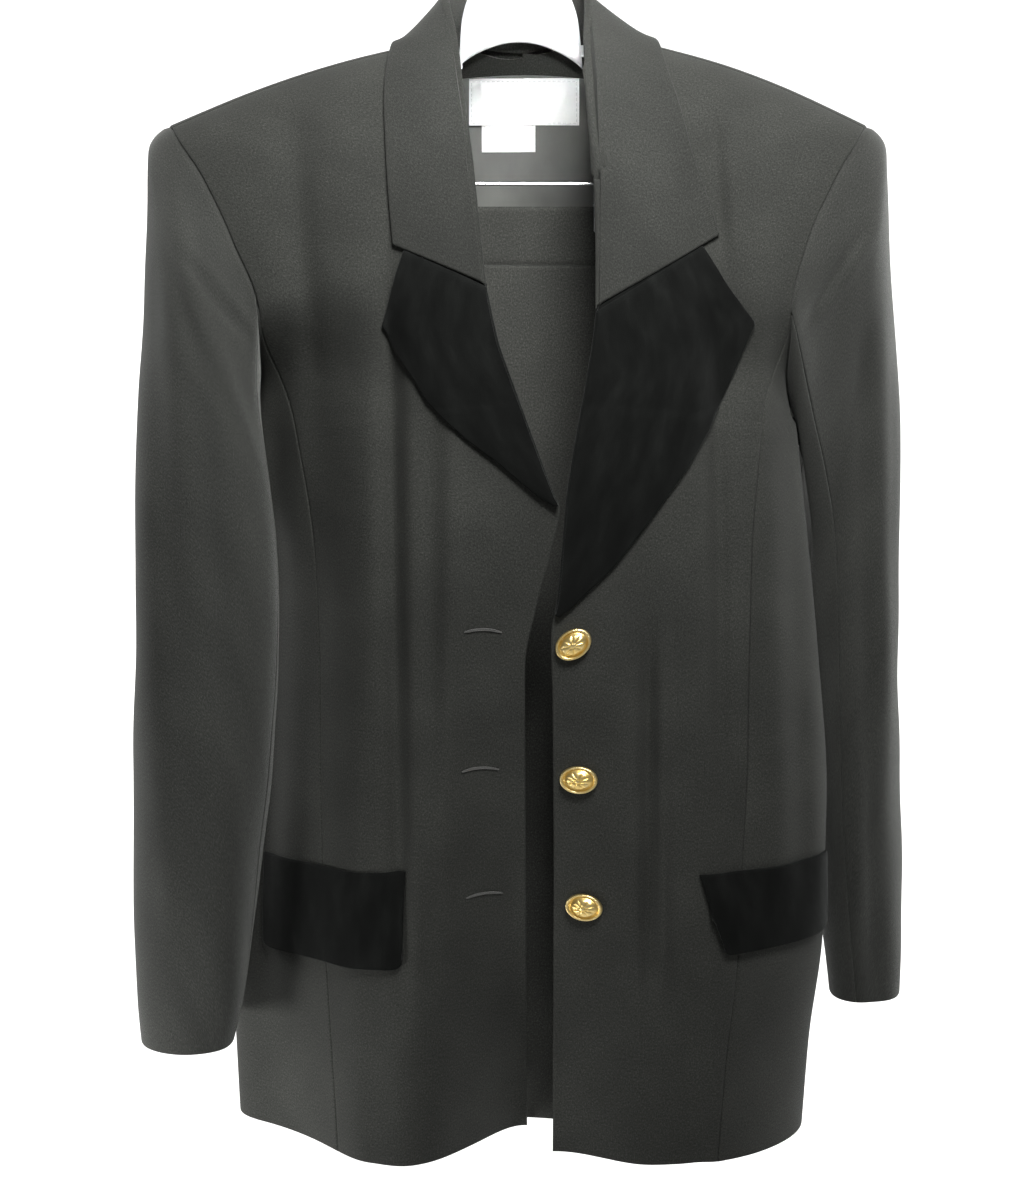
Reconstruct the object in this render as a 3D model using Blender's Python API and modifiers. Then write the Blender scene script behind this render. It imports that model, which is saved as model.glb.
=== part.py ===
"""A jacket and skirt hung together on one clear hanger, as one rigid part.

Metres. The origin is under the crown of the hook, where a rod holds it, +Z is up and -Y faces
the viewer. LEFT and RIGHT are the viewer's. Every cloth piece is a wall worked out from sections
of the garment, and pieces that are sewn together stop a hair short of each other.
"""
import math
from collections import namedtuple

import bmesh
import bpy
import numpy as np

# Cloth and seams
CLOTH = 0.0015
VELVET = 0.0016
SATIN = 0.0010
SEAM = 0.00025
LEFT, RIGHT = -1.0, 1.0

# Heights
HEM_Z = -0.820
UNDERARM_Z = -0.340
RIDGE_Z = -0.104
ARMHOLE_LOW_Z = -0.360
ARMHOLE_TOP_Z = -0.1795
LEFT_CUFF_Z = -0.757
RIGHT_CUFF_Z = -0.747

# Body sections below the underarm: side seams, depths and how far each front turns in at its edge
Body = namedtuple("Body", "z left right left_y right_y front back turn_left turn_right")
BODY = [
    Body(-0.820, -0.184, 0.186, -0.004, -0.022, 0.112, 0.088, 0.078, 0.036),
    Body(-0.760, -0.186, 0.189, -0.004, -0.026, 0.112, 0.086, 0.066, 0.032),
    Body(-0.685, -0.188, 0.196, -0.003, -0.030, 0.112, 0.084, 0.050, 0.026),
    Body(-0.600, -0.185, 0.196, -0.002, -0.034, 0.113, 0.082, 0.034, 0.020),
    Body(-0.500, -0.175, 0.188, -0.006, -0.035, 0.113, 0.078, 0.018, 0.010),
    Body(-0.420, -0.169, 0.179, -0.010, -0.035, 0.112, 0.080, 0.006, 0.004),
    Body(-0.340, -0.165, 0.170, -0.014, -0.026, 0.106, 0.085, 0.000, 0.000),
]

# Armhole seam from the underarm up to the shoulder
Armhole = namedtuple("Armhole", "t left right back_left back_right")
ARMHOLE = [
    Armhole(0.00, -0.1658, 0.1700, -0.1658, 0.1700),
    Armhole(0.12, -0.1580, 0.1640, -0.1670, 0.1680),
    Armhole(0.24, -0.1565, 0.1645, -0.1690, 0.1690),
    Armhole(0.42, -0.1725, 0.1750, -0.1790, 0.1800),
    Armhole(0.60, -0.1900, 0.1915, -0.1930, 0.1940),
    Armhole(0.80, -0.2080, 0.2080, -0.2085, 0.2090),
    Armhole(1.00, -0.2165, 0.2165, -0.2165, 0.2165),
]
ARMHOLE_FRONT = 0.068
ARMHOLE_BACK = 0.056

# Inner edge of each front, from the hem to the side of the neck
Edge = namedtuple("Edge", "z x")
LEFT_EDGE = [
    Edge(-0.820, 0.006), Edge(-0.660, 0.005), Edge(-0.505, 0.004), Edge(-0.465, 0.011),
    Edge(-0.430, 0.020), Edge(-0.405, 0.0245), Edge(-0.385, 0.0090), Edge(-0.360, -0.0005),
    Edge(-0.320, -0.0140), Edge(-0.276, -0.0290), Edge(-0.235, -0.0375), Edge(-0.195, -0.0480),
    Edge(-0.165, -0.0570), Edge(-0.142, -0.0640), Edge(-0.100, -0.0700),
]
RIGHT_EDGE = [
    Edge(-0.820, 0.022), Edge(-0.660, 0.022), Edge(-0.520, 0.0205), Edge(-0.485, 0.0195),
    Edge(-0.474, 0.0205), Edge(-0.450, 0.0330), Edge(-0.420, 0.0350), Edge(-0.380, 0.0400),
    Edge(-0.330, 0.0490), Edge(-0.290, 0.0570), Edge(-0.240, 0.0600), Edge(-0.195, 0.0620),
    Edge(-0.165, 0.0660), Edge(-0.142, 0.0700), Edge(-0.100, 0.0740),
]

# Largest folds of the body: a soft trough from one end to the other
Fold = namedtuple("Fold", "x0 z0 x1 z1 width depth face")
FOLDS = [
    Fold(-0.118, -0.190, -0.105, -0.345, 0.0182, 0.0050, "front"),
    Fold(-0.074, -0.330, -0.072, -0.620, 0.0169, 0.0060, "front"),
    Fold(-0.110, -0.420, -0.118, -0.800, 0.0208, 0.0045, "front"),
    Fold(0.104, -0.190, 0.122, -0.330, 0.0169, 0.0045, "front"),
    Fold(0.124, -0.350, 0.131, -0.600, 0.0195, 0.0055, "front"),
    Fold(0.080, -0.470, 0.100, -0.780, 0.0195, 0.0050, "front"),
    Fold(-0.090, -0.220, -0.070, -0.420, 0.0234, 0.0050, "back"),
    Fold(0.095, -0.230, 0.080, -0.450, 0.0234, 0.0050, "back"),
    Fold(-0.060, -0.500, -0.075, -0.820, 0.0234, 0.0060, "back"),
    Fold(0.060, -0.480, 0.070, -0.820, 0.0234, 0.0060, "back"),
]

# Sleeve sections: edges seen from the front, and the nearest and farthest depth
Sleeve = namedtuple("Sleeve", "z outer inner near far")
LEFT_SLEEVE = [
    Sleeve(-0.170, -0.2280, -0.166, -0.045, 0.045),
    Sleeve(-0.225, -0.2285, -0.162, -0.062, 0.034),
    Sleeve(-0.286, -0.2290, -0.156, -0.080, 0.014),
    Sleeve(-0.343, -0.2310, -0.151, -0.090, -0.006),
    Sleeve(-0.403, -0.2330, -0.149, -0.096, -0.024),
    Sleeve(-0.468, -0.2350, -0.149, -0.099, -0.032),
    Sleeve(-0.563, -0.2390, -0.153, -0.102, -0.032),
    Sleeve(-0.660, -0.2390, -0.163, -0.102, -0.028),
    Sleeve(-0.718, -0.2380, -0.171, -0.099, -0.024),
    Sleeve(-0.757, -0.2360, -0.181, -0.094, -0.020),
]
RIGHT_SLEEVE = [
    Sleeve(-0.170, 0.2275, 0.166, -0.045, 0.045),
    Sleeve(-0.237, 0.2310, 0.172, -0.048, 0.055),
    Sleeve(-0.287, 0.2360, 0.173, -0.040, 0.062),
    Sleeve(-0.351, 0.2430, 0.174, -0.026, 0.068),
    Sleeve(-0.428, 0.2470, 0.178, -0.019, 0.070),
    Sleeve(-0.513, 0.2510, 0.183, -0.016, 0.072),
    Sleeve(-0.615, 0.2530, 0.190, -0.013, 0.072),
    Sleeve(-0.683, 0.2540, 0.198, -0.010, 0.068),
    Sleeve(-0.747, 0.2540, 0.208, -0.006, 0.062),
]

# How far the sleeves turn on their way down: the left one forward, the right one back
SLEEVE_TWIST = {"left": math.radians(36), "right": math.radians(-26)}

# Lapels: the roll edge and the outer edge, from the break up to the collar seam
Lapel = namedtuple("Lapel", "roll_x roll_z edge_x edge_z")
LEFT_LAPEL = [
    Lapel(0.0240, -0.4030, 0.0205, -0.4040),
    Lapel(0.0215, -0.3975, 0.0100, -0.3970),
    Lapel(0.0160, -0.3830, -0.0110, -0.3790),
    Lapel(0.0090, -0.3640, -0.0320, -0.3640),
    Lapel(0.0005, -0.3410, -0.0540, -0.3420),
    Lapel(-0.0060, -0.3230, -0.0700, -0.3160),
    Lapel(-0.0110, -0.3090, -0.0810, -0.2970),
    Lapel(-0.0150, -0.2920, -0.0745, -0.2760),
    Lapel(-0.0180, -0.2790, -0.0700, -0.2555),
]
RIGHT_LAPEL = [
    Lapel(0.0215, -0.4690, 0.0250, -0.4710),
    Lapel(0.0225, -0.4620, 0.0330, -0.4640),
    Lapel(0.0245, -0.4430, 0.0570, -0.4400),
    Lapel(0.0260, -0.4240, 0.0780, -0.4130),
    Lapel(0.0280, -0.3980, 0.1000, -0.3820),
    Lapel(0.0330, -0.3650, 0.1240, -0.3400),
    Lapel(0.0390, -0.3330, 0.1405, -0.2965),
    Lapel(0.0435, -0.3080, 0.1250, -0.2770),
    Lapel(0.0462, -0.2935, 0.1110, -0.2590),
]

# Collar stations from one seam with the lapel round the neck to the other
Station = namedtuple("Station", "cx cy cz edge_x edge_z edge_face base_x base_z base_face")
COLLAR = [
    Station(-0.0185, None, -0.2755, -0.0735, -0.2515, "front", -0.0255, -0.2735, "front"),
    Station(-0.0225, None, -0.2400, -0.0765, -0.2240, "front", -0.0330, -0.2380, "front"),
    Station(-0.0270, -0.078, -0.2000, -0.0785, -0.1930, "front", -0.0430, -0.1970, "front"),
    Station(-0.0320, -0.058, -0.1650, -0.0800, -0.1640, "front", -0.0520, -0.1680, "front"),
    Station(-0.0365, -0.033, -0.1300, -0.0785, -0.1420, "front", -0.0590, -0.1440, "front"),
    Station(-0.0430, -0.004, -0.1035, -0.0750, None, "ridge", -0.0580, None, "ridge"),
    Station(-0.0440, 0.021, -0.0955, -0.0700, -0.1400, "back", -0.0520, None, "back"),
    Station(-0.0300, 0.037, -0.0935, -0.0440, -0.1460, "back", -0.0320, None, "back"),
    Station(-0.0020, 0.042, -0.0930, 0.0000, -0.1480, "back", 0.0010, None, "back"),
    Station(0.0270, 0.037, -0.0930, 0.0440, -0.1460, "back", 0.0360, None, "back"),
    Station(0.0400, 0.021, -0.0945, 0.0760, -0.1410, "back", 0.0580, None, "back"),
    Station(0.0410, -0.004, -0.1030, 0.0830, None, "ridge", 0.0660, None, "ridge"),
    Station(0.0395, -0.033, -0.1320, 0.0890, -0.1480, "front", 0.0650, -0.1460, "front"),
    Station(0.0430, -0.058, -0.1650, 0.0965, -0.1720, "front", 0.0600, -0.1700, "front"),
    Station(0.0460, -0.078, -0.2000, 0.1035, -0.2000, "front", 0.0570, -0.1990, "front"),
    Station(0.0470, None, -0.2450, 0.1115, -0.2260, "front", 0.0560, -0.2440, "front"),
    Station(0.0465, None, -0.2900, 0.1180, -0.2460, "front", 0.0540, -0.2880, "front"),
]

# Pocket flaps: inner and outer ends, top and bottom
Flap = namedtuple("Flap", "inner_x inner_top inner_low outer_x outer_top outer_low lean")
LEFT_FLAP = Flap(-0.068, -0.624, -0.687, -0.156, -0.633, -0.694, -0.002)
RIGHT_FLAP = Flap(0.111, -0.6290, -0.6830, 0.1925, -0.6210, -0.6800, 0.018)

# Buttons: an oval dome with a rim, a groove and a raised middle
Button = namedtuple("Button", "x z turn")
BUTTONS = {
    "button_top": Button(0.033, -0.487, math.radians(35)),
    "button_middle": Button(0.037, -0.572, math.radians(2)),
    "button_bottom": Button(0.041, -0.654, math.radians(-3)),
}
BUTTON_LONG = 0.01175
BUTTON_SHORT = 0.00875
Ring = namedtuple("Ring", "size height")
BUTTON_RINGS = [
    Ring(0.30, 0.0000), Ring(0.88, 0.0004), Ring(1.00, 0.0016), Ring(0.94, 0.0034),
    Ring(0.82, 0.0036), Ring(0.76, 0.0029), Ring(0.55, 0.0046), Ring(0.28, 0.0057),
]

# Skirt sections
Skirt = namedtuple("Skirt", "z middle half depth")
SKIRT = [
    Skirt(-0.2680, 0.003, 0.1560, 0.0075),
    Skirt(-0.3600, 0.003, 0.1570, 0.0140),
    Skirt(-0.4700, 0.003, 0.1590, 0.0230),
    Skirt(-0.6400, 0.003, 0.1620, 0.0300),
    Skirt(-0.8160, 0.003, 0.1630, 0.0330),
]
WAIST_TOP_Z = -0.229
WAIST_LOW_Z = -0.265
WAIST_HALF = 0.1560
WAIST_DEPTH = 0.0070
SKIRT_X = 0.003

# Hanger
ARM_END = 0.1950
ARM_HALF_Y = 0.0120
ARM_HEIGHT = 0.0150
NECK_HALF_Y = 0.0065
BAR_Z = -0.2150
BAR_R = 0.00130
BAR_END = 0.1350
HOOK_R = 0.0018
HOOK_BEND = 0.0220
CLIPS = {"clip_left": -0.0560, "clip_right": 0.0600}
CLIP_HALF = 0.0130

# Samples along and across the cloth
ROWS = [-1, -0.93, -0.84, -0.74, -0.64, -0.54, -0.44, -0.34, -0.24, -0.15, -0.07, 0.0,
        0.08, 0.16, 0.24, 0.34, 0.45, 0.56, 0.67, 0.77, 0.86, 0.94, 1.0]
PANEL_TOP = 0.24
FRONT_COLUMNS = 15
SHOULDER_COLUMNS = 8
NECK_COLUMNS = 4
BACK_OF_SIDE = 1 + 1e-9
NECK_SIDE_X = 0.064


def between(at, knots, values):
    """Smooth curve through the values of a table, with no overshoot."""
    if knots[0] > knots[-1]:
        knots, values = knots[::-1], values[::-1]
    if at <= knots[0]:
        return values[0]
    if at >= knots[-1]:
        return values[-1]
    k = 0
    while at > knots[k + 1]:
        k += 1
    steps = [(values[i + 1] - values[i]) / (knots[i + 1] - knots[i]) for i in range(len(knots) - 1)]

    def slope(i):
        if i == 0 or i == len(knots) - 1:
            return steps[min(i, len(steps) - 1)]
        if steps[i - 1] * steps[i] <= 0:
            return 0.0
        return 2 * steps[i - 1] * steps[i] / (steps[i - 1] + steps[i])

    width = knots[k + 1] - knots[k]
    f = (at - knots[k]) / width
    first = (1 + 2 * f) * (1 - f) ** 2 * values[k] + f * (1 - f) ** 2 * width * slope(k)
    return first + f * f * (3 - 2 * f) * values[k + 1] - f * f * (1 - f) * width * slope(k + 1)


def column(table, key, name, at):
    return between(at, [getattr(row, key) for row in table], [getattr(row, name) for row in table])


def ease(low, high, value):
    f = min(max((value - low) / (high - low), 0.0), 1.0)
    return f * f * (3 - 2 * f)


def straight(table, name, at):
    """A column of a table taken with straight steps, at from 0 to 1 over the rows."""
    place = min(max(at, 0.0), 1.0) * (len(table) - 1)
    k = min(int(place), len(table) - 2)
    return getattr(table[k], name) * (1 - place + k) + getattr(table[k + 1], name) * (place - k)


# Body surface: a runs from the middle of the front (0) by the side (1) to the middle of the back
# (2), and t from the hem (-1) by the underarm (0) to the top of the shoulder (1).
def side_name(side):
    return "left" if side < 0 else "right"


def boundary(side, t, face):
    """Side seam below the underarm, armhole seam above it."""
    name = side_name(side)
    if t <= 0:
        z = ARMHOLE_LOW_Z + (ARMHOLE_LOW_Z - HEM_Z) * t
        return np.array([column(BODY, "z", name, z), column(BODY, "z", name + "_y", z), z])
    x = column(ARMHOLE, "t", name if face == "front" else "back_" + name, t)
    low_y = column(BODY, "z", name + "_y", ARMHOLE_LOW_Z)
    reach = -ARMHOLE_FRONT if face == "front" else ARMHOLE_BACK
    rise = ease(0.0, 0.25, t)
    y = low_y * (1 - rise) + reach * rise * max(math.cos(t * math.pi / 2), 0.0) ** 0.9
    z = ARMHOLE_LOW_Z + (ARMHOLE_TOP_Z - ARMHOLE_LOW_Z) * math.sin(t * math.pi / 2)
    return np.array([x, y, z])


def middle_x(side, face):
    if face == "back":
        return 0.003
    return 0.030 if side < 0 else 0.0


def fold_depth(x, z, face):
    total = 0.0
    for fold in FOLDS:
        if fold.face != face:
            continue
        f = (z - fold.z0) / (fold.z1 - fold.z0)
        if not -0.35 < f < 1.35:
            continue
        off = (x - fold.x0 - (fold.x1 - fold.x0) * f) / fold.width
        ends = ease(-0.35, 0.15, f) * (1 - ease(0.85, 1.35, f))
        total += fold.depth * ends * (math.exp(-off * off) - 0.55 * math.exp(-(off - 1.6) ** 2))
    return total


def body(side, a, t):
    if t > 1:
        return body(side, a, 2 - t) * np.array([1.0, -1.0, 1.0])
    face = "front" if a <= 1 else "back"
    edge = boundary(side, t, face)
    across = math.sin(a * math.pi / 2)
    x = edge[0] * across + middle_x(side, face) * (1 - across)
    if t <= 0:
        middle_z = UNDERARM_Z + (UNDERARM_Z - HEM_Z) * t
    else:
        middle_z = UNDERARM_Z + (RIDGE_Z - UNDERARM_Z) * math.sin(t * math.pi / 2)
    z = middle_z + (edge[2] - middle_z) * across
    if t > 0:
        bow = 0.0062 * math.sin(math.pi * min(max((across - 0.3) / 0.7, 0.0), 1.0))
        z += bow * ease(0.3, 1.0, t)
    depth = column(BODY, "z", face, min(z, UNDERARM_Z))
    if t > 0:
        depth = column(BODY, "z", face, UNDERARM_Z) * math.cos(t * math.pi / 2)
    turn = 0.5 + 0.5 * ease(0.0, 0.26, t)
    shape = max(1 - across ** (2.3 if face == "front" else 2.6), 0.0) ** turn
    if face == "front" and side < 0:
        shape *= 1 - 0.70 * ease(0.60, 0.90, across) * (1 - ease(0.0, 0.6, t))
    reach = -depth if face == "front" else depth
    y = edge[1] + (reach - edge[1]) * shape
    if face == "front":
        name = side_name(side)
        table = LEFT_EDGE if side < 0 else RIGHT_EDGE
        away = (x - column(table, "z", "x", z)) / 0.045
        turn_in = column(BODY, "z", "turn_" + name, min(z, UNDERARM_Z))
        y += turn_in * math.exp(-away * away) * (1 - ease(-0.42, -0.34, z))
    y += (1 if face == "front" else -1) * fold_depth(x, z, face) * ease(0.0, 0.3, shape)
    return np.array([x, y, z])


def body_outward(side, a, t):
    """Outward direction of the body surface, one-sided at the armhole."""
    step = 0.012
    a0, a1 = a - step, a + step
    if t > 0:
        a0, a1 = (min(a0, 1 - step), min(a1, 1.0)) if a <= 1 else (max(a0, 1.0), max(a1, 1 + step))
    if a1 > 2:
        a0, a1 = 2 - 2 * step, 2.0
    t0, t1 = max(t - step, -1.0), t + step
    if t <= 0 < t1 and abs(a - 1) < 0.2:
        t0, t1 = t - step, t
    along = body(side, a, t1) - body(side, a, t0)
    over = body(side, a1, t) - body(side, a0, t)
    out = np.cross(over, along)
    if a > 2 - 1e-6:
        out[0] = 0.0
    out = out / np.linalg.norm(out)
    return out if side > 0 else -out


def armhole_outward(side, t, face, own):
    """Direction across the armhole seam: shared by its pieces high up, each one's own low down."""
    angle = math.pi * (1 - t)
    forward = -math.sin(angle) if face == "front" else math.sin(angle)
    shared = np.array([side * 0.25 * math.sin(angle), forward, math.cos(angle)])
    share = ease(0.26, 0.50, t)
    out = shared / np.linalg.norm(shared) * share + own * (1 - share)
    return out / np.linalg.norm(out)


def place_on_body(side, x, z, face):
    """The a and t of the body surface at a width and a height."""
    low, high = -1.0, 1.0
    for _ in range(40):
        t = (low + high) / 2
        a = across_to_a(side, x, t, face)
        if body(side, a, t)[2] < z:
            low = t
        else:
            high = t
    return a, t


def across_to_a(side, x, t, face):
    edge = boundary(side, t, face)[0]
    middle = middle_x(side, face)
    f = min(max((x - middle) / (edge - middle), -0.3), 1.0)
    a = math.asin(f) * 2 / math.pi
    return a if face == "front" else 2 - a


def on_body(x, z, face, lift=0.0, side=None):
    """A point at a width and a height, lifted off the cloth."""
    if side is None:
        side = LEFT if x < 0.003 else RIGHT
    a, t = place_on_body(side, x, z, face)
    return body(side, a, t) + lift * body_outward(side, a, t)


def on_ridge(x, lift=0.0):
    side = LEFT if x < 0 else RIGHT
    a = across_to_a(side, x, 1.0, "front")
    return body(side, a, 1.0) + lift * body_outward(side, a, 1.0)


# Solids
def finish(name, colour, roughness, metallic=0.0):
    material = bpy.data.materials.new(name)
    material.use_nodes = True
    shader = material.node_tree.nodes["Principled BSDF"]
    shader.inputs["Base Color"].default_value = (*colour, 1.0)
    shader.inputs["Roughness"].default_value = roughness
    shader.inputs["Metallic"].default_value = metallic
    material.diffuse_color = (*colour, 1.0)
    return material


def clear_scene():
    for obj in list(bpy.data.objects):
        bpy.data.objects.remove(obj, do_unlink=True)
    for group in list(bpy.data.collections):
        bpy.data.collections.remove(group)


def new_object(name, points, faces, material, group):
    mesh = bpy.data.meshes.new(name)
    points = np.asarray(points, float)
    mesh.from_pydata([tuple(p) for p in points], [], faces)
    shape = bmesh.new()
    shape.from_mesh(mesh)
    bmesh.ops.recalc_face_normals(shape, faces=shape.faces)
    if shape.calc_volume(signed=True) < 0:
        bmesh.ops.reverse_faces(shape, faces=shape.faces)
    shape.to_mesh(mesh)
    shape.free()
    obj = bpy.data.objects.new(name, mesh)
    obj.data.materials.append(material)
    group.objects.link(obj)
    return obj


def pulled_in(grid, gap):
    """Moves the four edges of a grid of points inward by a gap, so that sewn pieces stay clear."""
    moved = grid.copy()
    for first, second in ((0, 1), (-1, -2)):
        step = grid[second] - grid[first]
        length = np.linalg.norm(step, axis=1, keepdims=True)
        moved[first] += step / np.maximum(length, 1e-9) * np.minimum(gap, length * 0.4)
        step = grid[:, second] - grid[:, first]
        length = np.linalg.norm(step, axis=1, keepdims=True)
        moved[:, first] += step / np.maximum(length, 1e-9) * np.minimum(gap, length * 0.4)
    return moved


def wall(name, outer, outward, thick, material, group, round_about=False, gap=SEAM):
    """A closed wall whose face is a grid of points and whose back is a thickness behind it."""
    outer, outward = np.asarray(outer), np.asarray(outward)
    rows, columns = outer.shape[:2]
    if not round_about:
        outer = pulled_in(outer, gap)
    inner = outer - outward * thick
    points = np.concatenate([outer.reshape(-1, 3), inner.reshape(-1, 3)])
    back = rows * columns

    def at(i, j):
        return i * columns + j % columns

    faces = []
    last = columns if round_about else columns - 1
    for i in range(rows - 1):
        for j in range(last):
            quad = (at(i, j), at(i, j + 1), at(i + 1, j + 1), at(i + 1, j))
            faces.append(quad)
            faces.append(tuple(k + back for k in reversed(quad)))
    for j in range(last):
        faces.append((at(0, j + 1), at(0, j), at(0, j) + back, at(0, j + 1) + back))
        low, high = at(rows - 1, j), at(rows - 1, j + 1)
        faces.append((low, high, high + back, low + back))
    if not round_about:
        for i in range(rows - 1):
            faces.append((at(i, 0), at(i + 1, 0), at(i + 1, 0) + back, at(i, 0) + back))
            low, high = at(i, columns - 1), at(i + 1, columns - 1)
            faces.append((high, low, low + back, high + back))
    return new_object(name, points, faces, material, group)


def grid_outward(points, flip=1.0):
    """Outward directions of a grid from its own points."""
    points = np.asarray(points)
    down = np.gradient(points, axis=0)
    over = np.gradient(points, axis=1)
    out = np.cross(over, down) * flip
    return out / np.maximum(np.linalg.norm(out, axis=2, keepdims=True), 1e-12)


# Jacket body
def front_seam_a(t):
    """Seam between the front and its side panel, in the a of the body surface."""
    return between(t, [-1.0, -0.55, -0.2, 0.0, PANEL_TOP], [0.47, 0.50, 0.56, 0.66, 1.0])


def back_seam_a(t):
    return between(t, [-1.0, -0.55, -0.2, 0.0, PANEL_TOP], [1.44, 1.44, 1.40, 1.30, 1.0])


def edge_direction(side, a, t, face):
    own = body_outward(side, a, t)
    if abs(a - 1) < 1e-6 and t >= 0:
        return armhole_outward(side, t, face, own)
    return own


def front_panel(side, material, group):
    table = LEFT_EDGE if side < 0 else RIGHT_EDGE
    outer, outward = [], []
    for t in ROWS:
        far = front_seam_a(t) if t < PANEL_TOP else 1.0
        near = 0.0
        for _ in range(12):
            near = across_to_a(side, column(table, "z", "x", body(side, near, t)[2]), t, "front")
        line, out = [], []
        for k in range(FRONT_COLUMNS):
            a = near + (far - near) * k / (FRONT_COLUMNS - 1)
            line.append(body(side, a, t))
            out.append(edge_direction(side, a, t, "front"))
        outer.append(line)
        outward.append(out)
    wall(side_name(side) + "_front", outer, outward, CLOTH, material, group)


def side_panel(side, material, group):
    rows = [t for t in ROWS if t <= PANEL_TOP]
    spread = [0.0, 0.18, 0.36, 0.54, 0.76, 1.0, 1.33, 1.67, 2.0]
    outer, outward = [], []
    for seam_t in rows:
        w = (seam_t + 1) / (1 + PANEL_TOP)
        line, out = [], []
        for c in spread:
            face = "front" if c <= 1 else "back"
            part = 1 - c if c <= 1 else c - 1
            t = -1 + w * (1 + PANEL_TOP * part)
            seam = front_seam_a(seam_t) if c <= 1 else back_seam_a(seam_t)
            a = 1 + (seam - 1) * part
            a = a if c <= 1 else max(a, BACK_OF_SIDE)
            line.append(body(side, a, t) if c != 1 else boundary(side, t, "front"))
            out.append(edge_direction(side, a, t, face))
        outer.append(line)
        outward.append(out)
    wall(side_name(side) + "_side_panel", outer, outward, CLOTH, material, group, gap=3 * SEAM)


def neck_side_a(side):
    return across_to_a(side, side * NECK_SIDE_X + 0.003, 1.0, "back")


def neckline(x):
    """Point just above the neck edge of the back, on the inner face of its cloth."""
    side = LEFT if x < 0.003 else RIGHT
    near = neck_side_a(side)
    t = 0.9
    for _ in range(20):
        a = across_to_a(side, x, t, "back")
        t = back_top(min(max((a - near) / (2 - near), 0.0), 1.0)) + 0.021
    t = min(t, 1.0)
    return body(side, a, t) - CLOTH * body_outward(side, a, t)


def back_top(x_part):
    """Top of the back in t: the shoulder, then the curve of the neck, 0 neck side to 1 middle."""
    return 1.0 - 0.31 * math.sin(x_part * math.pi / 2) ** 1.2


def back_panel(side, material, group):
    neck_a = neck_side_a(side)
    outer, outward = [], []
    for t in ROWS:
        far = back_seam_a(t) if t < PANEL_TOP else BACK_OF_SIDE
        line, out = [], []
        for k in range(SHOULDER_COLUMNS + NECK_COLUMNS):
            if k < SHOULDER_COLUMNS:
                a = far + (neck_a - far) * k / (SHOULDER_COLUMNS - 1)
                level = t
            else:
                part = (k - SHOULDER_COLUMNS + 1) / NECK_COLUMNS
                a = neck_a + (2 - neck_a) * part
                level = t if t < 0.3 else 0.3 + (t - 0.3) * (back_top(part) - 0.3) / 0.7
            line.append(body(side, a, level))
            out.append(edge_direction(side, a, level, "back"))
        outer.append(line)
        outward.append(out)
    wall(side_name(side) + "_back", outer, outward, CLOTH, material, group)


# Sleeves
SLEEVE_ROWS = [0.0, 0.012, 0.03, 0.06, 0.10, 0.15, 0.20, 0.26, 0.33, 0.41, 0.50, 0.60, 0.70,
               0.80, 0.90, 1.0]
LOOP_FRONT = [1.0, 0.86, 0.67, 0.45, 0.24, 0.1608, 0.0792, 0.0]
UPPER_TO = 0.16


def armhole_loop():
    """Places round the armhole from the top, down the front and up the back: (t, face, turn)."""
    loop = [(t, "front", (1 - t) / 2) for t in LOOP_FRONT]
    return loop + [(t, "back", (1 + t) / 2) for t in reversed(LOOP_FRONT[:-1])]


def sleeve_point(side, t, face, turn, w):
    table, cuff = (LEFT_SLEEVE, LEFT_CUFF_Z) if side < 0 else (RIGHT_SLEEVE, RIGHT_CUFF_Z)
    start = boundary(side, t, face) + np.array([side * 0.0004, 0.0, 0.0])
    z = start[2] + (cuff - start[2]) * w
    outer, inner = column(table, "z", "outer", z), column(table, "z", "inner", z)
    near, far = column(table, "z", "near", z), column(table, "z", "far", z)
    angle = 2 * math.pi * turn
    angle += SLEEVE_TWIST[side_name(side)] * ease(0.0, 0.35, w)
    ring_x = (outer + inner) / 2 + (outer - inner) / 2 * math.cos(angle)
    ring_y = (near + far) / 2 - (far - near) / 2 * math.sin(angle)
    settle = 0.028 + 0.30 * math.sin(math.pi * turn) ** 2
    part = min(w / settle, 1.0)
    quick = 1 - (1 - part) ** 2.4
    slow = ease(0.0, 1.0, part)
    low = math.sin(math.pi * turn) ** 2
    behind = ease(0.42, 0.60, turn) if side < 0 else 1.0
    across = slow * (1 - behind) + quick * behind
    forward = quick * (1 - behind) + slow * behind
    push = 0.011 * math.sin(math.pi * part) * ease(0.42, 0.50, turn) * (1 - ease(0.62, 0.74, turn))
    across = quick * (1 - low) + across * low
    forward = quick * (1 - low) + forward * low
    wave = 0.0020 * math.sin(3 * angle + 16 * z) * ease(0.1, 0.4, w)
    x = start[0] * (1 - across) + ring_x * across + (wave * math.cos(angle) + push) * side
    y = start[1] * (1 - forward) + ring_y * forward - wave * math.sin(angle)
    return np.array([x, y, z])


def sleeve_grid(side):
    loop = armhole_loop()
    grid = np.array([[sleeve_point(side, t, face, turn, w) for t, face, turn in loop]
                     for w in SLEEVE_ROWS])
    ring = grid[:, :-1]
    over = np.roll(ring, -1, axis=1) - np.roll(ring, 1, axis=1)
    down = np.gradient(ring, axis=0)
    out = np.cross(over, down) * (1 if side > 0 else -1)
    out = out / np.linalg.norm(out, axis=2, keepdims=True)
    middle = ring.mean(axis=1, keepdims=True)
    if ((ring - middle) * out).sum() < 0:
        out = -out
    for j, (t, face, _) in enumerate(loop[:-1]):
        out[0, j] = armhole_outward(side, t, face, out[0, j])
    return ring, out


def sleeve(side, material, group):
    grid, out = sleeve_grid(side)
    count = grid.shape[1]
    under = list(range(4, count - 3))
    upper = [(count - 4 + k) % count for k in range(count - len(under) + 2)]
    name = side_name(side)
    for part, columns in (("_upper_sleeve", upper), ("_under_sleeve", under)):
        wall(name + part, grid[:, columns], out[:, columns], CLOTH, material, group, gap=2 * SEAM)


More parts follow.
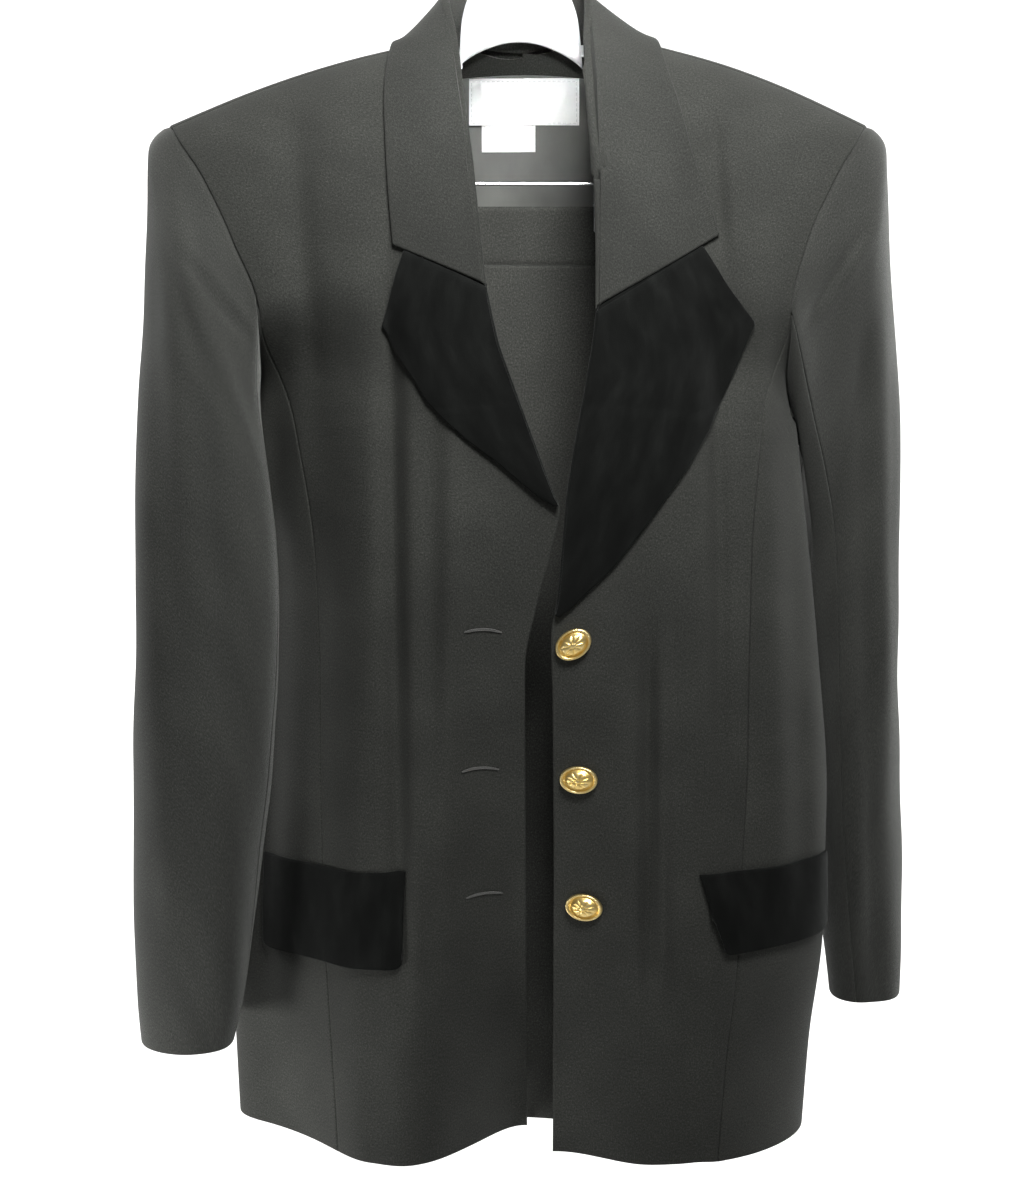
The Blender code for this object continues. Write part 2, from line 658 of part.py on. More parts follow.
# Collar and lapels
def lapel(side, table, name, material, group):
    """A turned-back facing: a short leg behind the roll, the roll, then the face on the front."""
    steps = 11
    profile = [(0.0060, -0.0016), (0.0028, -0.0017), (0.0006, -0.0004), (0.0000, 0.0016),
               (0.0010, 0.0036)]
    outer = []
    for i in range(2 * len(table) - 1):
        at = i / (2 * len(table) - 2)
        roll = np.array([straight(table, "roll_x", at), straight(table, "roll_z", at)])
        edge = np.array([straight(table, "edge_x", at), straight(table, "edge_z", at)])
        width = np.linalg.norm(edge - roll)
        along = (edge - roll) / width
        scale = min(1.0, width / 0.012)
        line = []
        for distance, lift in profile:
            place = roll + along * distance * scale
            line.append(on_body(place[0], place[1], "front", lift, side))
        for k in range(1, steps - 4):
            f = k / (steps - 5)
            place = roll + along * (0.0010 * scale + (width - 0.0010 * scale) * f)
            lift = 0.0036 + 0.0016 * (1 - f) ** 1.5 + 0.0006 * math.sin(math.pi * f)
            line.append(on_body(place[0], place[1], "front", lift, side))
        outer.append(line)
    outer = np.array(outer)
    wall(name, outer, -side * grid_outward(outer, -1.0), VELVET, material, group)


def station_points(row):
    """Base, crest and edge of the collar at one station."""
    side = LEFT if row.cx < 0 else RIGHT
    if row.base_face == "front":
        base = on_body(row.base_x, row.base_z, "front", -CLOTH)
    elif row.base_face == "ridge":
        base = on_ridge(row.base_x, -CLOTH)
    else:
        base = neckline(row.base_x)
    if row.edge_face == "ridge":
        edge = on_ridge(row.edge_x, 0.0026)
    else:
        edge = on_body(row.edge_x, row.edge_z, row.edge_face, 0.0026)
    if row.cy is None:
        crest = on_body(row.cx, row.cz, "front", 0.0016, side)
    else:
        crest = np.array([row.cx, row.cy, row.cz])
    return base, crest, edge


def collar(material, group):
    stations = [station_points(row) for row in COLLAR]
    knots = [float(k) for k in range(len(stations))]
    outer = []
    for i in range(2 * len(stations) - 1):
        at = i / 2
        base, crest, edge = (
            np.array([between(at, knots, [station[part][axis] for station in stations])
                      for axis in range(3)])
            for part in range(3)
        )
        outer.append(collar_section(base, crest, edge))
    outer = np.array(outer)
    wall("collar", outer, grid_outward(outer, -1.0), CLOTH, material, group)


def collar_section(base, crest, edge):
    """Stand, rounded crest and fall in one line of points."""
    up = crest - (base + edge) / 2
    up = up / np.linalg.norm(up)
    apart = edge - base
    apart = apart - up * np.dot(apart, up)
    apart = apart / np.linalg.norm(apart)
    radius = 0.0032
    inside = crest - up * radius - apart * radius
    top = crest
    outside = crest - up * radius + apart * radius
    line = [base, base * 0.5 + inside * 0.5 - apart * 0.0040, inside]
    line.append(crest - apart * radius * 0.7 - up * radius * 0.3)
    line.append(top)
    line.append(crest + apart * radius * 0.7 - up * radius * 0.3)
    line.append(outside)
    reach = np.linalg.norm(edge - outside)
    for f in (0.3, 0.6, 0.85, 1.0):
        place = outside + (edge - outside) * f + up * 0.042 * reach * math.sin(math.pi * f)
        line.append(clear_of_body(place, 0.0032 + 0.0016 * math.exp(-(place[1] / 0.028) ** 2)))
    return line


def clear_of_body(point, least):
    """The point, moved off the body where it is closer than a least distance."""
    side = LEFT if point[0] < 0.003 else RIGHT
    a, t = place_on_body(side, point[0], point[2], "front" if point[1] < 0 else "back")
    out = body_outward(side, a, t)
    off = np.dot(point - body(side, a, t), out)
    wanted = (off + least + math.sqrt((off - least) ** 2 + 1e-6)) / 2
    return point + out * (wanted - off)


# Pockets and buttons
def flap(side, sizes, name, material, group):
    outer = []
    for i in range(5):
        down = i / 4
        line = []
        for k in range(9):
            f = k / 8
            top = sizes.inner_top + (sizes.outer_top - sizes.inner_top) * f
            low = sizes.inner_low + (sizes.outer_low - sizes.inner_low) * f
            x = sizes.inner_x + (sizes.outer_x - sizes.inner_x) * f
            x += sizes.lean * down * (1 - f)
            lift = 0.0024 + 0.0012 * down
            line.append(on_body(x, top + (low - top) * down, "front", lift, side))
        outer.append(line)
    outer = np.array(outer)
    wall(name, outer, side * grid_outward(outer, -1.0), VELVET, material, group)


def button(name, place, material, group):
    seat = on_body(place.x, place.z, "front", 0.0003, RIGHT)
    a, t = place_on_body(RIGHT, place.x, place.z, "front")
    out = body_outward(RIGHT, a, t)
    over = np.cross(np.array([0.0, 0.0, 1.0]), out)
    over = -over / np.linalg.norm(over)
    over = over if over[0] > 0 else -over
    up = np.cross(over, out)
    up = up if up[2] > 0 else -up
    count = 20
    points = []
    for ring in BUTTON_RINGS:
        for k in range(count):
            angle = 2 * math.pi * k / count
            u = BUTTON_LONG * ring.size * math.cos(angle)
            v = BUTTON_SHORT * ring.size * math.sin(angle)
            wide = u * math.cos(place.turn) - v * math.sin(place.turn)
            high = u * math.sin(place.turn) + v * math.cos(place.turn)
            points.append(seat + over * wide + up * high + out * (ring.height + 0.0002))
    faces = []
    for i in range(len(BUTTON_RINGS) - 1):
        for k in range(count):
            n = (k + 1) % count
            faces.append((i * count + k, i * count + n, (i + 1) * count + n, (i + 1) * count + k))
    faces.append(tuple(reversed(range(count))))
    top = (len(BUTTON_RINGS) - 1) * count
    faces.append(tuple(range(top, top + count)))
    new_object(name, points, faces, material, group)


def back_lining(material, group):
    """Satin that lines the top of the back, seen at the neck."""
    outer = []
    outward = []
    for i in range(7):
        line, out = [], []
        for k in range(13):
            x = -0.115 + 0.236 * k / 12
            neck = max(1 - abs((x - 0.002) / 0.066) ** 2, 0.0)
            top = -0.1445 - 0.006 * (1 - neck) - 0.14 * max(abs(x - 0.002) - 0.066, 0.0)
            z = top + (-0.330 - top) * i / 6
            side = LEFT if x < 0.003 else RIGHT
            a, t = place_on_body(side, x, z, "back")
            direction = body_outward(side, a, t)
            line.append(body(side, a, t) - direction * (CLOTH + 0.0022))
            out.append(direction)
        outer.append(line)
        outward.append(out)
    wall("back_lining", outer, outward, SATIN, material, group)


# Skirt
def skirt_point(turn, z):
    """Turn 0 at the left side, 0.5 at the right side by the front, 1 back at the left."""
    half = column(SKIRT, "z", "half", z)
    depth = column(SKIRT, "z", "depth", z)
    angle = 2 * math.pi * turn
    x = SKIRT_X - half * math.cos(angle)
    bulge = abs(math.sin(angle)) ** 0.8 * (1 if math.sin(angle) > 0 else -1)
    y = -depth * bulge
    y += 0.0040 * ease(-0.30, -0.62, z) * math.sin(x * 62 + 1.4) * abs(math.sin(angle))
    return np.array([x, y, z])


def skirt_half(name, start, material, group):
    rows = [-0.2656, -0.30, -0.36, -0.43, -0.51, -0.59, -0.67, -0.75, -0.8160]
    columns = 15
    outer, outward = [], []
    for z in rows:
        line, out = [], []
        for k in range(columns):
            turn = start + 0.5 * k / (columns - 1)
            p = skirt_point(turn, z)
            over = skirt_point(turn + 0.004, z) - skirt_point(turn - 0.004, z)
            down = skirt_point(turn, z - 0.002) - skirt_point(turn, z + 0.002)
            direction = np.cross(over, down)
            direction /= np.linalg.norm(direction)
            if direction[1] * p[1] < 0:
                direction = -direction
            if k in (0, columns - 1):
                direction = np.array([math.copysign(1.0, p[0] - SKIRT_X), 0.0, 0.0])
            line.append(p)
            out.append(direction)
        outer.append(line)
        outward.append(out)
    wall(name, outer, outward, CLOTH, material, group)


def waistband(material, group):
    count = 36
    outer, outward = [], []
    for z in (WAIST_TOP_Z, -0.2470, WAIST_LOW_Z):
        line, out = [], []
        for k in range(count):
            angle = 2 * math.pi * (k + 0.5) / count
            c, s = math.cos(angle), math.sin(angle)
            x = SKIRT_X + WAIST_HALF * math.copysign(abs(c) ** 0.85, c)
            y = WAIST_DEPTH * math.copysign(abs(s) ** 0.45, s)
            line.append(np.array([x, y, z]))
            direction = np.array([c * abs(c) ** 3, math.copysign(abs(s) ** 0.6, s), 0.0])
            out.append(direction / np.linalg.norm(direction))
        outer.append(line)
        outward.append(out)
    wall("waistband", outer, outward, CLOTH, material, group, round_about=True)


# Hanger
def ridge_under(x, clear):
    """Height of the underside of the shoulder cloth above a width."""
    return on_ridge(x)[2] - CLOTH - clear


def hanger(material, group, cutters):
    """Two arms under the shoulders and a broad neck with an arch cut below it."""
    count = 14
    points, faces = [], []
    xs = [-ARM_END + 2 * ARM_END * i / 26 for i in range(27)]
    for x in xs:
        end = ease(0.0, 0.03, ARM_END - abs(x))
        high = ARM_HEIGHT * (0.45 + 0.55 * end) / 2
        wide = ARM_HALF_Y * (0.45 + 0.55 * end)
        clear = 0.0006 + 0.0060 * ease(0.19, 0.10, abs(x))
        top = ridge_under(x, clear) if abs(x) > 0.045 else ridge_under(0.045, clear) + 0.012
        if abs(x) <= 0.045:
            top = ridge_under(0.045, clear) + 0.009 * (1 - (x / 0.045) ** 2)
        middle = top - high
        for k in range(count):
            angle = 2 * math.pi * k / count
            points.append((x, wide * math.cos(angle), middle + high * math.sin(angle)))
    for i in range(len(xs) - 1):
        for k in range(count):
            n = (k + 1) % count
            faces.append((i * count + k, i * count + n, (i + 1) * count + n, (i + 1) * count + k))
    faces.append(tuple(range(count)))
    last = (len(xs) - 1) * count
    faces.append(tuple(last + k for k in reversed(range(count))))
    arms = new_object("hanger", points, faces, material, group)

    outline = [(-0.0370, -0.1420), (-0.0350, -0.1180), (-0.0305, -0.1020), (-0.0240, -0.0910),
               (-0.0130, -0.0835), (-0.0110, -0.0790), (0.0110, -0.0790), (0.0130, -0.0835),
               (0.0240, -0.0910), (0.0320, -0.1020), (0.0370, -0.1180), (0.0400, -0.1440)]
    arch = []
    for i in range(13):
        f = i / 12
        x = 0.0395 - 0.0750 * f
        arch.append((x, -0.1450 + 0.0022 * f + 0.0150 * math.sin(math.pi * f) ** 0.8))
    ring = outline + arch
    plate_points = [(x, -NECK_HALF_Y, z) for x, z in ring] + [(x, NECK_HALF_Y, z) for x, z in ring]
    size = len(ring)
    plate_faces = [tuple(range(size)), tuple(reversed(range(size, 2 * size)))]
    for i in range(size):
        n = (i + 1) % size
        plate_faces.append((n, i, i + size, n + size))
    plate = new_object("neck_plate", plate_points, plate_faces, material, cutters)
    below = [(x, -0.05, z) for x, z in arch] + [(-0.0355, -0.05, -0.20), (0.0395, -0.05, -0.20)]
    below = below + [(x, 0.05, z) for x, _, z in below]
    size = len(arch) + 2
    cut_faces = [tuple(range(size)), tuple(reversed(range(size, 2 * size)))]
    for i in range(size):
        n = (i + 1) % size
        cut_faces.append((n, i, i + size, n + size))
    arch_cut = new_object("arch_cut", below, cut_faces, material, cutters)
    for tool, work in ((plate, "UNION"), (arch_cut, "DIFFERENCE")):
        change = arms.modifiers.new(tool.name, "BOOLEAN")
        change.operation = work
        change.solver = "EXACT"
        change.object = tool
    return arms


def tube(name, path, radius, material, group, count=10):
    """A round wire along a path that lies in the plane of the shoulders."""
    path = np.array([(p[0], p[1], p[2]) for p in path])
    run = np.gradient(path, axis=0)
    points, faces = [], []
    for p, d in zip(path, run):
        d = d / np.linalg.norm(d)
        across = np.array([0.0, 1.0, 0.0])
        other = np.cross(d, across)
        for k in range(count):
            angle = 2 * math.pi * k / count
            points.append(p + radius * (across * math.cos(angle) + other * math.sin(angle)))
    for i in range(len(path) - 1):
        for k in range(count):
            n = (k + 1) % count
            faces.append((i * count + k, i * count + n, (i + 1) * count + n, (i + 1) * count + k))
    faces.append(tuple(reversed(range(count))))
    last = (len(path) - 1) * count
    faces.append(tuple(last + k for k in range(count)))
    return new_object(name, points, faces, material, group)


def hook(material, group):
    """Wire hook: a straight stem, then a bend that opens to the left."""
    centre_z = -HOOK_BEND + HOOK_R
    top = HOOK_BEND
    path = [(0.0, 0.0, -0.0787 + 0.0), (0.0, 0.0, -0.0700), (0.0, 0.0, -0.0600),
            (0.0015, 0.0, -0.0500), (0.0070, 0.0, -0.0410), (0.0140, 0.0, -0.0345)]
    for i in range(17):
        angle = math.radians(-38 + 228 * i / 16)
        path.append((top * math.cos(angle), 0.0, centre_z + top * math.sin(angle)))
    return tube("hook", path, HOOK_R, material, group)


def skirt_bar(material, group):
    path = []
    end_z = ridge_under(BAR_END, 0.0) - ARM_HEIGHT - 0.0086
    for side in (-1, 1):
        leg = [(side * BAR_END, 0.0, end_z), (side * BAR_END, 0.0, (end_z + BAR_Z) / 2)]
        for i in range(6):
            angle = math.pi / 2 * i / 5
            leg.append((side * (BAR_END - 0.008 * (1 - math.cos(angle))), 0.0,
                        BAR_Z + 0.008 - 0.008 * math.sin(angle)))
        if side < 0:
            path = leg + [(x, 0.0, BAR_Z) for x in (-0.08, 0.0, 0.08)]
        else:
            path = path + leg[::-1]
    return tube("skirt_bar", path, BAR_R, material, group)


def box(name, size, centre, material, group):
    x, y, z = (s / 2 for s in size)
    corners = [(i * x + centre[0], j * y + centre[1], k * z + centre[2])
               for i in (-1, 1) for j in (-1, 1) for k in (-1, 1)]
    faces = [(0, 1, 3, 2), (4, 6, 7, 5), (0, 4, 5, 1), (2, 3, 7, 6), (0, 2, 6, 4), (1, 5, 7, 3)]
    return new_object(name, corners, faces, material, group)


def clip(name, x, material, group, cutters):
    """A clip that hangs on the bar and holds the waistband between two jaws."""
    inside = WAIST_DEPTH + 0.0003
    outside = inside + 0.0022
    top, low = BAR_Z + 0.0060, WAIST_TOP_Z - 0.0160
    body_box = box(name, (2 * CLIP_HALF, 2 * outside, top - low), (x, 0.0, (top + low) / 2),
                   material, group)
    soften = body_box.modifiers.new("edges", "BEVEL")
    soften.width = 0.0010
    soften.segments = 1
    slot_top = WAIST_TOP_Z + 0.0015
    slot = box(name + "_slot", (0.06, 2 * inside, slot_top - low + 0.01),
               (x, 0.0, (slot_top + low - 0.01) / 2), material, cutters)
    hole = tube(name + "_hole", [(x - 0.03, 0.0, BAR_Z), (x + 0.03, 0.0, BAR_Z)],
                BAR_R + 0.0004, material, cutters, 12)
    for tool in (slot, hole):
        change = body_box.modifiers.new(tool.name, "BOOLEAN")
        change.operation = "DIFFERENCE"
        change.solver = "EXACT"
        change.object = tool


def main():
    clear_scene()
    suit = bpy.data.collections.new("dress_suit")
    cutters = bpy.data.collections.new("cutters")
    for group in (suit, cutters):
        bpy.context.scene.collection.children.link(group)
    cutters.hide_render = True

    wool = finish("charcoal_wool", (0.045, 0.043, 0.047), 0.8)
    sleeve_wool = finish("charcoal_wool_sleeves", (0.040, 0.038, 0.042), 0.8)
    skirt_wool = finish("charcoal_wool_skirt", (0.050, 0.048, 0.052), 0.8)
    velvet = finish("black_velvet", (0.008, 0.008, 0.010), 0.95)
    satin = finish("grey_satin", (0.12, 0.12, 0.13), 0.4)
    gold = finish("gilt_metal", (0.85, 0.60, 0.22), 0.25, 1.0)
    plastic = finish("clear_plastic", (0.80, 0.82, 0.84), 0.15)
    steel = finish("chromed_steel", (0.75, 0.75, 0.77), 0.2, 1.0)

    for side in (LEFT, RIGHT):
        front_panel(side, wool, suit)
        side_panel(side, wool, suit)
        back_panel(side, wool, suit)
        sleeve(side, sleeve_wool, suit)
    collar(wool, suit)
    lapel(LEFT, LEFT_LAPEL, "left_lapel", velvet, suit)
    lapel(RIGHT, RIGHT_LAPEL, "right_lapel", velvet, suit)
    flap(LEFT, LEFT_FLAP, "left_pocket_flap", velvet, suit)
    flap(RIGHT, RIGHT_FLAP, "right_pocket_flap", velvet, suit)
    for name, place in BUTTONS.items():
        button(name, place, gold, suit)
    back_lining(satin, suit)
    skirt_half("skirt_front", 0.0, skirt_wool, suit)
    skirt_half("skirt_back", 0.5, skirt_wool, suit)
    waistband(skirt_wool, suit)
    hanger(plastic, suit, cutters)
    hook(steel, suit)
    skirt_bar(steel, suit)
    for name, x in CLIPS.items():
        clip(name, x, plastic, suit, cutters)
    for obj in cutters.objects:
        obj.hide_render = True
        obj.display_type = "WIRE"


main()
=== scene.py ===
"""A dress suit on its hanger: a long wool jacket hung over its straight skirt.

Metres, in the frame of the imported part. LEFT and RIGHT are the viewer's. Every cloth piece is a
thin closed shell on the form of the garment, with its folds, its pressed edges and its seams.
"""
import logging
import math
from dataclasses import dataclass, field
from enum import Enum

import bpy
import numpy as np
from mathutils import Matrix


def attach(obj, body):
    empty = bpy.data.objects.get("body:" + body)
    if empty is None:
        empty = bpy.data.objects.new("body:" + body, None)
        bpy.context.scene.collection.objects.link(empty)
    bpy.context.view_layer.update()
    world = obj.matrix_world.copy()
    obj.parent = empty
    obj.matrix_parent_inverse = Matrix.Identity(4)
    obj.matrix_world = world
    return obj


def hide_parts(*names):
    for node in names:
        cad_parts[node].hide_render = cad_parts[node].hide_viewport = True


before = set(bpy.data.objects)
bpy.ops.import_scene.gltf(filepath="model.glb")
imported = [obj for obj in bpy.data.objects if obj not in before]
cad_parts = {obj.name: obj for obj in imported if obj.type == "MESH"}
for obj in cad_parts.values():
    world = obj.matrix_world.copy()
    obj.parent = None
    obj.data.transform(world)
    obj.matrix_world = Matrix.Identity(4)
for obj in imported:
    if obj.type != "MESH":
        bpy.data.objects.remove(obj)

LOG = logging.getLogger("suit")
Array = np.ndarray
Faces = list[list[int]]
Colour = tuple[float, float, float]
Place = tuple[float, float, float]
Piece = bpy.types.Object
Material = bpy.types.Material
Socket = bpy.types.NodeSocket
HALF_TURN = math.pi / 2


class Side(Enum):
    """The two sides of the garment, as the viewer sees them from the front."""

    LEFT = -1.0
    RIGHT = 1.0

    @property
    def word(self) -> str:
        """The side's name in piece names."""
        return self.name.lower()

    @property
    def sign(self) -> float:
        """-1 on the left and 1 on the right."""
        return self.value


class Hold(Enum):
    """How a sheet of cloth is held."""

    HUNG = "hung"
    FOLDED = "folded"
    STRETCHED = "stretched"


class Face(Enum):
    """The face of the jacket that a point of the collar lies on."""

    FRONT = "front"
    RIDGE = "ridge"
    BACK = "back"


# Curves and tables


def smooth(at: Array, knots: Array, values: Array) -> Array:
    """Reads a smooth curve through given values, with no overshoot.

    Args:
        at: Places to read.
        knots: Places of the values, rising or falling.
        values: Values at the knots.

    Returns:
        The curve's value at each place.
    """
    knots, values = np.asarray(knots, float), np.asarray(values, float)
    if knots[0] > knots[-1]:
        knots, values = knots[::-1], values[::-1]
    step = np.diff(values) / np.diff(knots)
    slope = np.concatenate([step[:1], np.zeros(len(step) - 1), step[-1:]])
    both = step[:-1] * step[1:]
    total = np.where(both > 0, step[:-1] + step[1:], 1.0)
    slope[1:-1] = np.where(both > 0, 2 * both / total, 0.0)
    at = np.clip(at, knots[0], knots[-1])
    k = np.clip(np.searchsorted(knots, at, side="right") - 1, 0, len(knots) - 2)
    width = knots[k + 1] - knots[k]
    f = (at - knots[k]) / width
    rising = (1 + 2 * f) * (1 - f) ** 2 * values[k] + f * (1 - f) ** 2 * width * slope[k]
    falling = f * f * (3 - 2 * f) * values[k + 1] - f * f * (1 - f) * width * slope[k + 1]
    return rising + falling


def ease(low: float, high: float, value: Array) -> Array:
    """A soft step.

    Args:
        low: Where the step starts.
        high: Where it ends.
        value: Places to read.

    Returns:
        0 before low, 1 after high and a soft curve between.
    """
    f = np.clip((np.asarray(value, float) - low) / (high - low), 0.0, 1.0)
    return f * f * (3 - 2 * f)


def unit(vectors: Array) -> Array:
    """Vectors scaled to length one."""
    return vectors / np.maximum(np.linalg.norm(vectors, axis=-1, keepdims=True), 1e-12)


def fixed(value: object) -> object:
    """A dataclass field that holds the same table or dictionary in every copy."""
    return field(default_factory=lambda: value)


class Table:
    """A short table of sizes with named columns, read by its first column."""

    def __init__(self, names: str, *rows: tuple[float, ...]) -> None:
        """Keeps the columns under their names.

        Args:
            names: Column names, the first one being what the table is read by.
            rows: Rows of sizes.
        """
        self.names = names.split()
        self.columns = dict(zip(self.names, np.array(rows, float).T))

    def read(self, name: str, at: Array) -> Array:
        """A column's value at each place of the first column."""
        return smooth(at, self.columns[self.names[0]], self.columns[name])

    def straight(self, name: str, part: Array) -> Array:
        """A column read with straight steps, part running from 0 to 1 over the rows."""
        values = self.columns[name]
        return np.interp(part, np.linspace(0.0, 1.0, len(values)), values)


# Sizes of the garment

# Thickness of each cloth, then places of the form, with height 0 at the crown of the hook.
CLOTH = 0.0015
VELVET = 0.0016
SATIN = 0.0010
HEM_Z = -0.820
UNDERARM_Z = -0.340
RIDGE_Z = -0.104
ARMHOLE_LOW_Z = -0.360
ARMHOLE_TOP_Z = -0.1795
PANEL_TOP = 0.24
BACK_OF_SIDE = 1 + 1e-9
MIDDLE_BACK_X = 0.003

# The body at each height: its widths, how far forward its sides lie, how far its front and back
# stand off them, and how far each front edge turns inward.
BODY = Table(
    "z left right left_y right_y front back turn_left turn_right",
    (-0.820, -0.184, 0.186, -0.004, -0.022, 0.112, 0.088, 0.078, 0.036),
    (-0.760, -0.186, 0.189, -0.004, -0.026, 0.112, 0.086, 0.066, 0.032),
    (-0.685, -0.188, 0.196, -0.003, -0.030, 0.112, 0.084, 0.050, 0.026),
    (-0.600, -0.185, 0.196, -0.002, -0.034, 0.113, 0.082, 0.034, 0.020),
    (-0.500, -0.175, 0.188, -0.006, -0.035, 0.113, 0.078, 0.018, 0.010),
    (-0.420, -0.169, 0.179, -0.010, -0.035, 0.112, 0.080, 0.006, 0.004),
    (-0.340, -0.165, 0.170, -0.014, -0.026, 0.106, 0.085, 0.000, 0.000),
)
# Widths of the armhole seams, from the underarm (0) to the top of the shoulder (1).
ARMHOLE = Table(
    "t left right back_left back_right",
    (0.00, -0.1658, 0.1700, -0.1658, 0.1700),
    (0.12, -0.1580, 0.1640, -0.1670, 0.1680),
    (0.24, -0.1565, 0.1645, -0.1690, 0.1690),
    (0.42, -0.1725, 0.1750, -0.1790, 0.1800),
    (0.60, -0.1900, 0.1915, -0.1930, 0.1940),
    (0.80, -0.2080, 0.2080, -0.2085, 0.2090),
    (1.00, -0.2165, 0.2165, -0.2165, 0.2165),
)
# Widths of the front edges at each height.
EDGES = {
    Side.LEFT: Table(
        "z x",
        (-0.820, 0.006), (-0.660, 0.005), (-0.505, 0.004), (-0.465, 0.011), (-0.430, 0.020),
        (-0.405, 0.0245), (-0.385, 0.0090), (-0.360, -0.0005), (-0.320, -0.0140),
        (-0.276, -0.0290), (-0.235, -0.0375), (-0.195, -0.0480), (-0.165, -0.0570),
        (-0.142, -0.0640), (-0.100, -0.0700),
    ),
    Side.RIGHT: Table(
        "z x",
        (-0.820, 0.022), (-0.660, 0.022), (-0.520, 0.0205), (-0.485, 0.0195), (-0.474, 0.0205),
        (-0.450, 0.0330), (-0.420, 0.0350), (-0.380, 0.0400), (-0.330, 0.0490),
        (-0.290, 0.0570), (-0.240, 0.0600), (-0.195, 0.0620), (-0.165, 0.0660),
        (-0.142, 0.0700), (-0.100, 0.0740),
    ),
}


@dataclass(frozen=True)
class Fold:
    """A soft trough in the cloth, with a low ridge beside it."""

    x0: float
    z0: float
    x1: float
    z1: float
    width: float
    depth: float

    def depth_at(self, x: Array, z: Array) -> Array:
        """How deep the fold is.

        Args:
            x: Widths.
            z: Heights.

        Returns:
            The depth at each place, negative on the ridge.
        """
        f = (z - self.z0) / (self.z1 - self.z0)
        off = (x - self.x0 - (self.x1 - self.x0) * f) / self.width
        ends = ease(-0.35, 0.15, f) * (1 - ease(0.85, 1.35, f))
        return self.depth * ends * (np.exp(-off * off) - 0.55 * np.exp(-((off - 1.6) ** 2)))


FRONT_FOLDS = (
    Fold(-0.136, -0.170, -0.128, -0.330, 0.0182, 0.0030),
    Fold(-0.074, -0.330, -0.072, -0.620, 0.0169, 0.0060),
    Fold(-0.110, -0.420, -0.118, -0.800, 0.0208, 0.0045),
    Fold(0.104, -0.190, 0.122, -0.330, 0.0169, 0.0045),
    Fold(0.124, -0.350, 0.131, -0.600, 0.0195, 0.0055),
    Fold(0.080, -0.470, 0.100, -0.780, 0.0195, 0.0050),
)
BACK_FOLDS = (
    Fold(-0.090, -0.220, -0.070, -0.420, 0.0234, 0.0050),
    Fold(0.095, -0.230, 0.080, -0.450, 0.0234, 0.0050),
    Fold(-0.060, -0.500, -0.075, -0.820, 0.0234, 0.0060),
    Fold(0.060, -0.480, 0.070, -0.820, 0.0234, 0.0060),
)
FRONT_CREASES = (
    Fold(-0.133, -0.190, -0.124, -0.335, 0.0080, 0.0013),
    Fold(-0.0755, -0.330, -0.0725, -0.650, 0.0062, 0.0058),
    Fold(-0.0500, -0.370, -0.0520, -0.540, 0.0070, 0.0036),
    Fold(-0.088, -0.600, -0.090, -0.800, 0.0120, 0.0024),
    Fold(-0.1530, -0.350, -0.1640, -0.660, 0.0115, 0.0052),
    Fold(-0.030, -0.560, -0.036, -0.800, 0.0120, 0.0016),
    Fold(0.117, -0.180, 0.121, -0.250, 0.0055, 0.0028),
    Fold(0.1185, -0.340, 0.1230, -0.560, 0.0060, 0.0036),
    Fold(0.0785, -0.510, 0.0805, -0.680, 0.0052, 0.0066),
    Fold(0.104, -0.690, 0.112, -0.810, 0.0080, 0.0024),
    Fold(0.1640, -0.350, 0.1760, -0.620, 0.0100, 0.0030),
    Fold(0.056, -0.560, 0.060, -0.790, 0.0120, 0.0016),
)
BACK_CREASES = (
    Fold(-0.120, -0.240, -0.100, -0.420, 0.0090, 0.0018),
    Fold(0.124, -0.230, 0.104, -0.400, 0.0090, 0.0018),
    Fold(-0.030, -0.420, -0.036, -0.780, 0.0110, 0.0016),
    Fold(0.032, -0.460, 0.030, -0.800, 0.0100, 0.0014),
    Fold(0.100, -0.560, 0.108, -0.800, 0.0100, 0.0016),
    Fold(-0.110, -0.540, -0.116, -0.800, 0.0100, 0.0016),
)


def ripple(x: Array, y: Array, z: Array, shift: float) -> Array:
    """Slight unevenness of cloth that has hung for a while.

    Args:
        x: Widths.
        y: Depths.
        z: Heights.
        shift: Moves the pattern, so that pieces differ.

    Returns:
        A small distance, on either side of nothing, at each place.
    """
    long = np.sin(61 * x + 9 * z + shift) * np.sin(11 * z - 23 * y + 1.7 * shift)
    short = np.sin(143 * x - 31 * z + 2.3 * shift) * np.sin(37 * z + 61 * y + shift)
    cross = np.sin(88 * z + 47 * x + 0.6 * shift) * np.sin(95 * x + 3.1 * shift)
    return 0.00060 * long + 0.00028 * short + 0.00020 * cross


